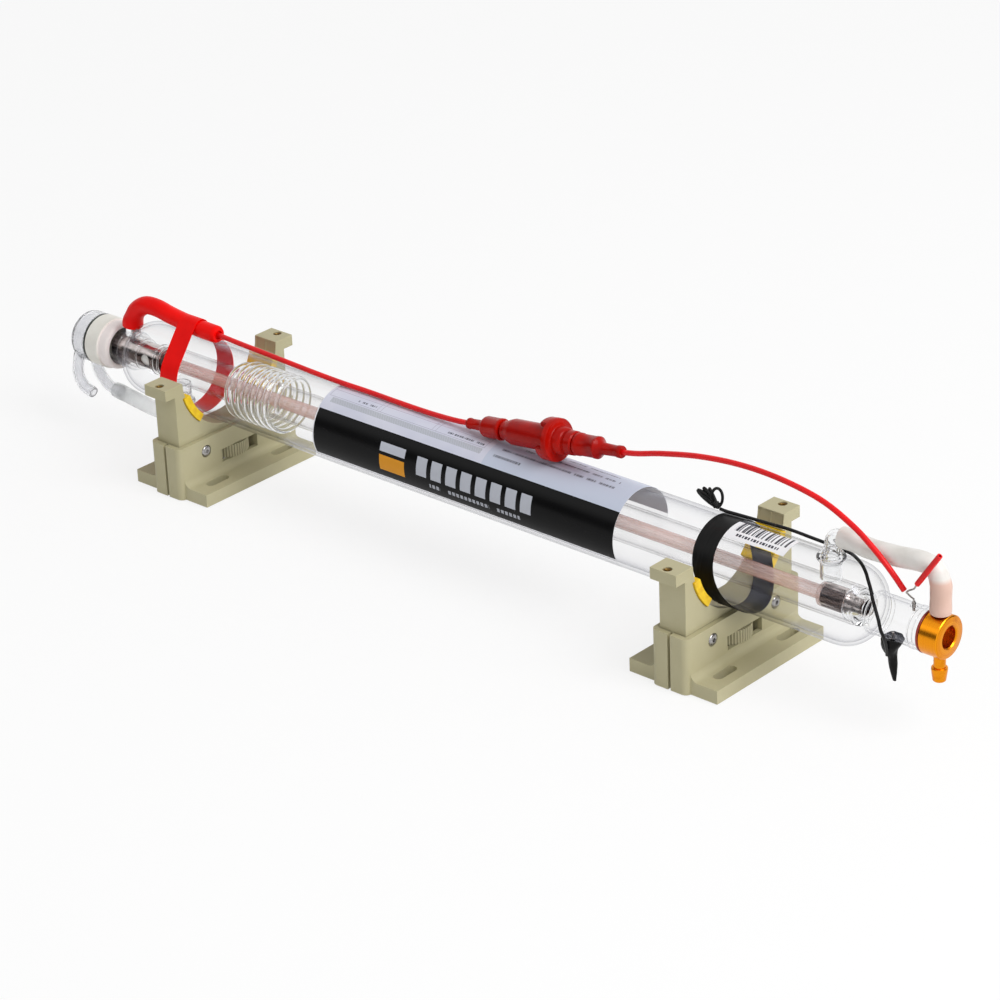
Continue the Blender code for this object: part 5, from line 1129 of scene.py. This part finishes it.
shell = lathed(coupler)
line_side = Vector((0, 1, 0))
line_over = line_up.cross(line_side)
hook = [(70.4, 10.2), (67.2, 10.2), (66.8, 9.8), (66.5, 9.1), (64.7, 9.1), (64.3, 9.6), (64.3, 11.6), (65.0, 12.7),
        (66.4, 13.2), (70.4, 13.2)]
HOOK_HALF_DEG = 22.0
for middle_deg in (90, 210, 330):
    rings = []
    for k in range(9):
        angle = math.radians(middle_deg + HOOK_HALF_DEG * (k - 4) / 4)
        outward = line_side * math.cos(angle) + line_over * math.sin(angle)
        rings.append([shell.verts.new(plug_start + line_up * a * MM + outward * r * MM) for a, r in hook])
    skinned(shell, rings)
mounted(finished("coupler_shell", shell, plug_red, 40), TUBE, "red_plastic", "hv_coupler")
run_length(rear_route)

# ---- The bare strand and the stub ----
# The front run is cut above the neck pin. Its bare tinned strands go on to the pin, and a loose stub of
# the same red insulation is still threaded on them.

stub_low = Vector((FRONT + 53.5 * MM, -9 * MM, AXIS_Z + 31.6 * MM))
stub_high = Vector((FRONT + 68.2 * MM, -9 * MM, AXIS_Z + 53.6 * MM))
stub_up = (stub_high - stub_low).normalized()
stub_line = [stub_low.lerp(stub_high, k / 8) for k in range(9)]
stub = finished("insulation_stub", swept(stub_line, [LEAD_RADIUS * 0.93] + [LEAD_RADIUS] * 7 + [LEAD_RADIUS * 0.95], 32,
                                         [0.85 * MM] * 9), red_sheath, 50)
mounted(stub, TUBE, "red_insulation", "lead_stub")

pin_end = FRONT + 45.2 * MM
strand_route = smooth_route([Vector((pin_end, 0, AXIS_Z + 16.1 * MM))]
                            + placed(pin_end, [(-0.2, -2.4, 18.4), (-0.8, -4.8, 21.2), (-0.6, -6.3, 22.8),
                                               (1.7, -6.9, 25), (5.4, -8, 27.5), (7.6, -9, 30.5)])
                            + [stub_low, stub_low + stub_up * 2 * MM], 0.5 * MM)
strand_frames = frames_along(strand_route)
strand = bmesh.new()
for wire_number in range(5):
    twist = []
    for k, (point, side_way, up_way) in enumerate(strand_frames):
        angle = 2 * math.pi * (wire_number / 5 + k / 14.0)
        twist.append(point + (side_way * math.cos(angle) + up_way * math.sin(angle)) * 0.30 * MM)
    swept(twist, [0.24 * MM] * len(twist), 8, into=strand)
strand_piece = mounted(finished("bare_strand", strand, tinned, 60), TUBE, "tinned_wire", "lead_strand")
run_length(arch_route)

# ---- The cathode cone ----
# Black heat-shrink sleeve, shrunk over the cathode pin and its soldered wire under the neck. It is
# crumpled and ends in a flattened tip.

shrink = Finish("heat_shrink")
crumple = shrink.grain(260.0, 4.0, 0.65)
folds = shrink.grain(1.0, 3.0, 0.6, shrink.stretched((420.0, 420.0, 90.0)))
shrink.coat(
    base_color=shrink.blend((0.003, 0.003, 0.003), (0.014, 0.013, 0.013), crumple.ramp(0.5, 0.8)),
    roughness=0.26 + crumple * 0.3,
    specular_ior_level=0.14,
    normal=shrink.relief(crumple * 0.6 + folds, 0.0006, 0.7))
cone_x = FRONT + 31.3 * MM
cone_bm = bmesh.new()
cone_rings = []
CONE_POINTS = ((0.0, -10.9, 6.6), (0.0, -12.6, 6.6), (0.0, -14.4, 6.3), (0.0, -16.4, 5.5), (0.1, -18.4, 4.6),
               (0.1, -20.4, 3.8), (0.2, -22.4, 3.1), (0.2, -25.0, 2.8), (0.3, -28.0, 2.7), (0.6, -31.0, 2.5),
               (1.0, -34.0, 2.1), (1.3, -37.0, 1.5), (1.5, -39.2, 1.1), (1.5, -39.4, 0.5))
for level, (along, height, radius) in enumerate(CONE_POINTS):
    ring = []
    for k in range(40):
        angle = 2 * math.pi * k / 40
        dent = 1.0 + 0.055 * math.sin(3 * angle + level * 0.9) + 0.035 * math.sin(7 * angle - level * 1.7)
        thin = 1.0 - 0.35 * (level / (len(CONE_POINTS) - 1)) ** 2
        # The wire runs in at the -Y side, so the sleeve bulges there.
        bulge = 1.9 * math.exp(-((height + 19.5) / 4.0) ** 2)
        across = radius * dent * thin * math.sin(angle) - bulge * (0.6 - 0.4 * math.sin(angle))
        across = across if across < 0 else 0.88 * across
        ring.append(cone_bm.verts.new((cone_x + (along - 0.4 * bulge + radius * dent * math.cos(angle)) * MM,
                                       across * MM, AXIS_Z + height * MM)))
    cone_rings.append(ring)
skinned(cone_bm, cone_rings)
cone = finished("shrink_cone", cone_bm, shrink, 60)
neck_cut = profile(FRONT, [(20, 0), (20, 12.7), (44, 12.7), (44, 0)])
combined(cone, turned(neck_cut, segments=64))
mounted(cone, TUBE, "black_shrink", "cathode_boot")

# ---- The two supports ----
# Each has two moulded khaki ABS base halves bolted together round a sliding cradle with ears. A knurled
# nut in the windows lifts the cradle. Yellow rubber pads line its seat, and brass inserts its ears.

SUPPORTS = {"out": FRONT - 87.0 * MM, "rear": REAR + 58.6 * MM}
khaki = Finish("khaki_plastic")
x_mm, y_mm, z_mm = khaki.axes()
mould = khaki.grain(1100.0, 3.0)
flow = khaki.grain(24.0, 4.0, 0.6)
scuff = khaki.grain(1.0, 5.0, 0.7, khaki.stretched((160.0, 160.0, 700.0)))
khaki.coat(
    base_color=khaki.blend(
        khaki.blend((0.430, 0.395, 0.238), (0.478, 0.443, 0.282), flow.ramp(0.3, 0.7)),
        (0.580, 0.555, 0.410), scuff.ramp(0.66, 0.80) * 0.5),
    roughness=0.42 + flow * 0.14 + mould * 0.05,
    specular_ior_level=0.35,
    normal=khaki.relief(mould + scuff * 0.4, 0.00006, 0.45))

steel = mottled("screw_steel", (0.24, 0.23, 0.22), (0.52, 0.51, 0.50), (1.0, 3.0, 0.6), (0.3, 0.7), (0.16, 0.18),
                0.04 * MM, stretch=(200.0, 900.0, 900.0), metallic=1.0)
yellow = mottled("yellow_pad", (0.88, 0.60, 0.010), (0.74, 0.44, 0.008), (260.0, 3.0), (0.35, 0.7), (0.42, 0.2),
                 0.08 * MM)

brass = Finish("insert_brass")
x_mm, y_mm, z_mm = brass.axes()
THREAD_PITCH_MM = 0.7
# The dark bands that follow the thread are painted shade in the thread; the rest of the darkening is tarnish.
thread_relief_and_shade = (z_mm * (2 * math.pi / THREAD_PITCH_MM)).wave() * 0.5 + 0.5
tarnish = brass.grain(500.0, 2.0)
brass.coat(base_color=brass.blend((0.40, 0.25, 0.07), (0.16, 0.09, 0.03), thread_relief_and_shade * 0.6 + tarnish * 0.4), metallic=1.0,
           roughness=0.25 + tarnish * 0.2, normal=brass.relief(thread_relief_and_shade, 0.2 * MM, 0.6))

# The nut's rim is one curve whose radius swings once for each tooth. It is filled round the bore and raised.
NUT_TEETH = 48
knurl = Pattern("knurled_nut", Centre=0.0, Teeth=NUT_TEETH, Points=576, Radius=15.0 * MM, Depth=0.45 * MM,
                Bore=4.4 * MM, Low=14.6 * MM, Height=8.3 * MM)
rim = knurl.node("CurvePrimitiveCircle", inputs={"Resolution": knurl.size("Points"), "Radius": 1.0})
angle = knurl.node("SplineParameter", output="Factor") * (2 * math.pi)
swing = (angle * knurl.size("Teeth")).wave() * 0.5 + 0.5
rim_radius = knurl.size("Radius") - knurl.size("Depth") * swing ** 1.6
spot = knurl.point(rim_radius * (angle + math.pi / 2).wave() + knurl.size("Centre"), rim_radius * angle.wave(), 0.0)
rim = knurl.node("SetPosition", inputs={"Geometry": rim, "Position": spot})
hole = knurl.node("CurvePrimitiveCircle", inputs={"Resolution": 40, "Radius": knurl.size("Bore")})
hole = knurl.node("Transform", inputs={"Geometry": hole, "Translation": knurl.point(knurl.size("Centre"), 0.0, 0.0)})
disc = knurl.node("FillCurve", inputs={0: knurl.joined(hole, rim)})
raised = knurl.node("ExtrudeMesh", {"mode": "FACES"}, {"Mesh": disc, "Offset": knurl.point(0.0, 0.0, 1.0),
                                                       "Offset Scale": knurl.size("Height"), "Individual": False})
flat = knurl.node("FlipFaces", inputs={0: disc})
closed = knurl.node("MergeByDistance", inputs={0: knurl.joined(raised, flat), "Distance": 1e-6})
# A filled curve always comes out at height zero, so the nut is lifted into the windows at the end.
lifted = knurl.node("Transform", inputs={"Geometry": closed, "Translation": knurl.point(0.0, 0.0, knurl.size("Low"))})

SEAT_RADIUS = 42.0 * MM
seat_centre = 79.7 * MM
ear_top = 78.0 * MM


def restyled(node_name, name, body, slot_name, finish, edge):
    """A CAD node's shape as a clean copy, with smooth arcs and softened edges."""
    crease_deg = 30
    bm = bmesh.new()
    bm.from_mesh(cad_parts[node_name].data)
    bmesh.ops.remove_doubles(bm, verts=bm.verts, dist=2e-6)
    bmesh.ops.dissolve_limit(bm, angle_limit=math.radians(1.0), verts=bm.verts, edges=bm.edges)
    made = finished(name, bm, finish, crease_deg)
    rounding = made.modifiers.new("soft_edges", "BEVEL")
    rounding.width = edge
    rounding.segments = 2
    rounding.limit_method = "ANGLE"
    rounding.angle_limit = math.radians(crease_deg)
    rounding.use_clamp_overlap = True
    rounding.harden_normals = True
    mounted(made, body, slot_name, node_name)


for prefix, support_x in SUPPORTS.items():
    base_body = prefix + "_base"
    ribbed = Finish(prefix + "_nut_plastic")
    x_mm, y_mm, z_mm = ribbed.axes()
    mould = ribbed.grain(1100.0, 3.0)
    around = ribbed.node("Math", {"operation": "ARCTAN2"}, {0: y_mm, 1: x_mm - support_x / MM})
    # The base colour darkens in each groove between the nut's teeth: painted shade.
    groove_shade = (around * float(NUT_TEETH)).wave().ramp(-0.2, 0.9)
    ribbed.coat(base_color=ribbed.blend((0.48, 0.445, 0.285), (0.20, 0.18, 0.11), groove_shade * 0.8),
                roughness=0.45 + mould * 0.1, specular_ior_level=0.35, normal=ribbed.relief(mould, 0.06 * MM, 0.4))
    for part in ("front", "back"):
        restyled("%s_base_%s" % (prefix, part), "%s_half_%s" % (prefix, part), base_body, "beige_plastic", khaki,
                 0.35 * MM)
    restyled(prefix + "_cradle", prefix + "_saddle", TUBE, "beige_plastic", khaki, 0.35 * MM)
    for side in ("left", "right"):
        restyled("%s_pad_%s" % (prefix, side), "%s_cushion_%s" % (prefix, side), TUBE, "yellow_rubber", yellow,
                 0.4 * MM)
    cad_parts[prefix + "_lift_stud"].material_slots[0].material = steel.owner
    # The moulding leaves only a shallow hollow on each side of the arms' middle rib.
    infill = bmesh.new()
    web_low, web_top = seat_centre - 9.5 * MM, ear_top - 1.05 * MM
    section = [(SEAT_RADIUS + 1.55 * MM, web_low), (SEAT_RADIUS + 1.55 * MM, web_top)]
    for k in range(9):
        z = web_top + (web_low - web_top) * k / 8
        section.append((math.sqrt((SEAT_RADIUS + 0.35 * MM) ** 2 - (z - seat_centre) ** 2), z))
    for y_sign in (-1, 1):
        for x_sign in (-1, 1):
            skinned(infill, [[infill.verts.new((support_x + x_sign * x * MM, y_sign * y, z)) for y, z in section]
                             for x in (0.55, 8.65)])
    mounted(finished(prefix + "_arm_webs", infill, khaki, 30), TUBE, "beige_plastic")

    knurl.values["Centre"] = support_x
    mounted(knurl.laid(prefix + "_nut", lifted, ribbed), prefix + "_wheel", "beige_plastic", prefix + "_thumbwheel")

    for side, y_sign in (("left", -1), ("right", 1)):
        # A domed head with a hexagon socket, sunk a little in the wall.
        screw_line = (support_x, y_sign * 29.3 * MM, 26.9 * MM)
        dome = [(12.4 + 1.6 * math.sin(math.radians(a)), 2.1 + 1.8 * math.cos(math.radians(a)))
                for a in (15, 30, 45, 60, 75, 90)]
        outline = profile(0, [(-12.8, 0), (-12.8, 2.0), (11.8, 2.0), (11.8, 3.9), (12.4, 3.9), *dome, (14.0, 0)])
        screw = finished("%s_button_screw_%s" % (prefix, side), turned(outline, "X", screw_line, 48), steel, 30)
        hexagon = profile(0, [(12.7, 0), (12.7, 1.45), (15.0, 1.45), (15.0, 0)])
        combined(screw, turned(hexagon, "X", screw_line, 6))
        mounted(screw, base_body, "steel", "%s_clamp_screw_%s" % (prefix, side))

        outline = profile(0, [(70.8, 1.7), (70.8, 2.6), (77.2, 2.6), (77.2, 2.0), (76.9, 1.7)])
        mounted(finished("%s_brass_insert_%s" % (prefix, side),
                         turned(outline, "Z", (support_x, y_sign * 53.0 * MM, 0), 32), brass, 30),
                TUBE, "brass", "%s_insert_%s" % (prefix, side))
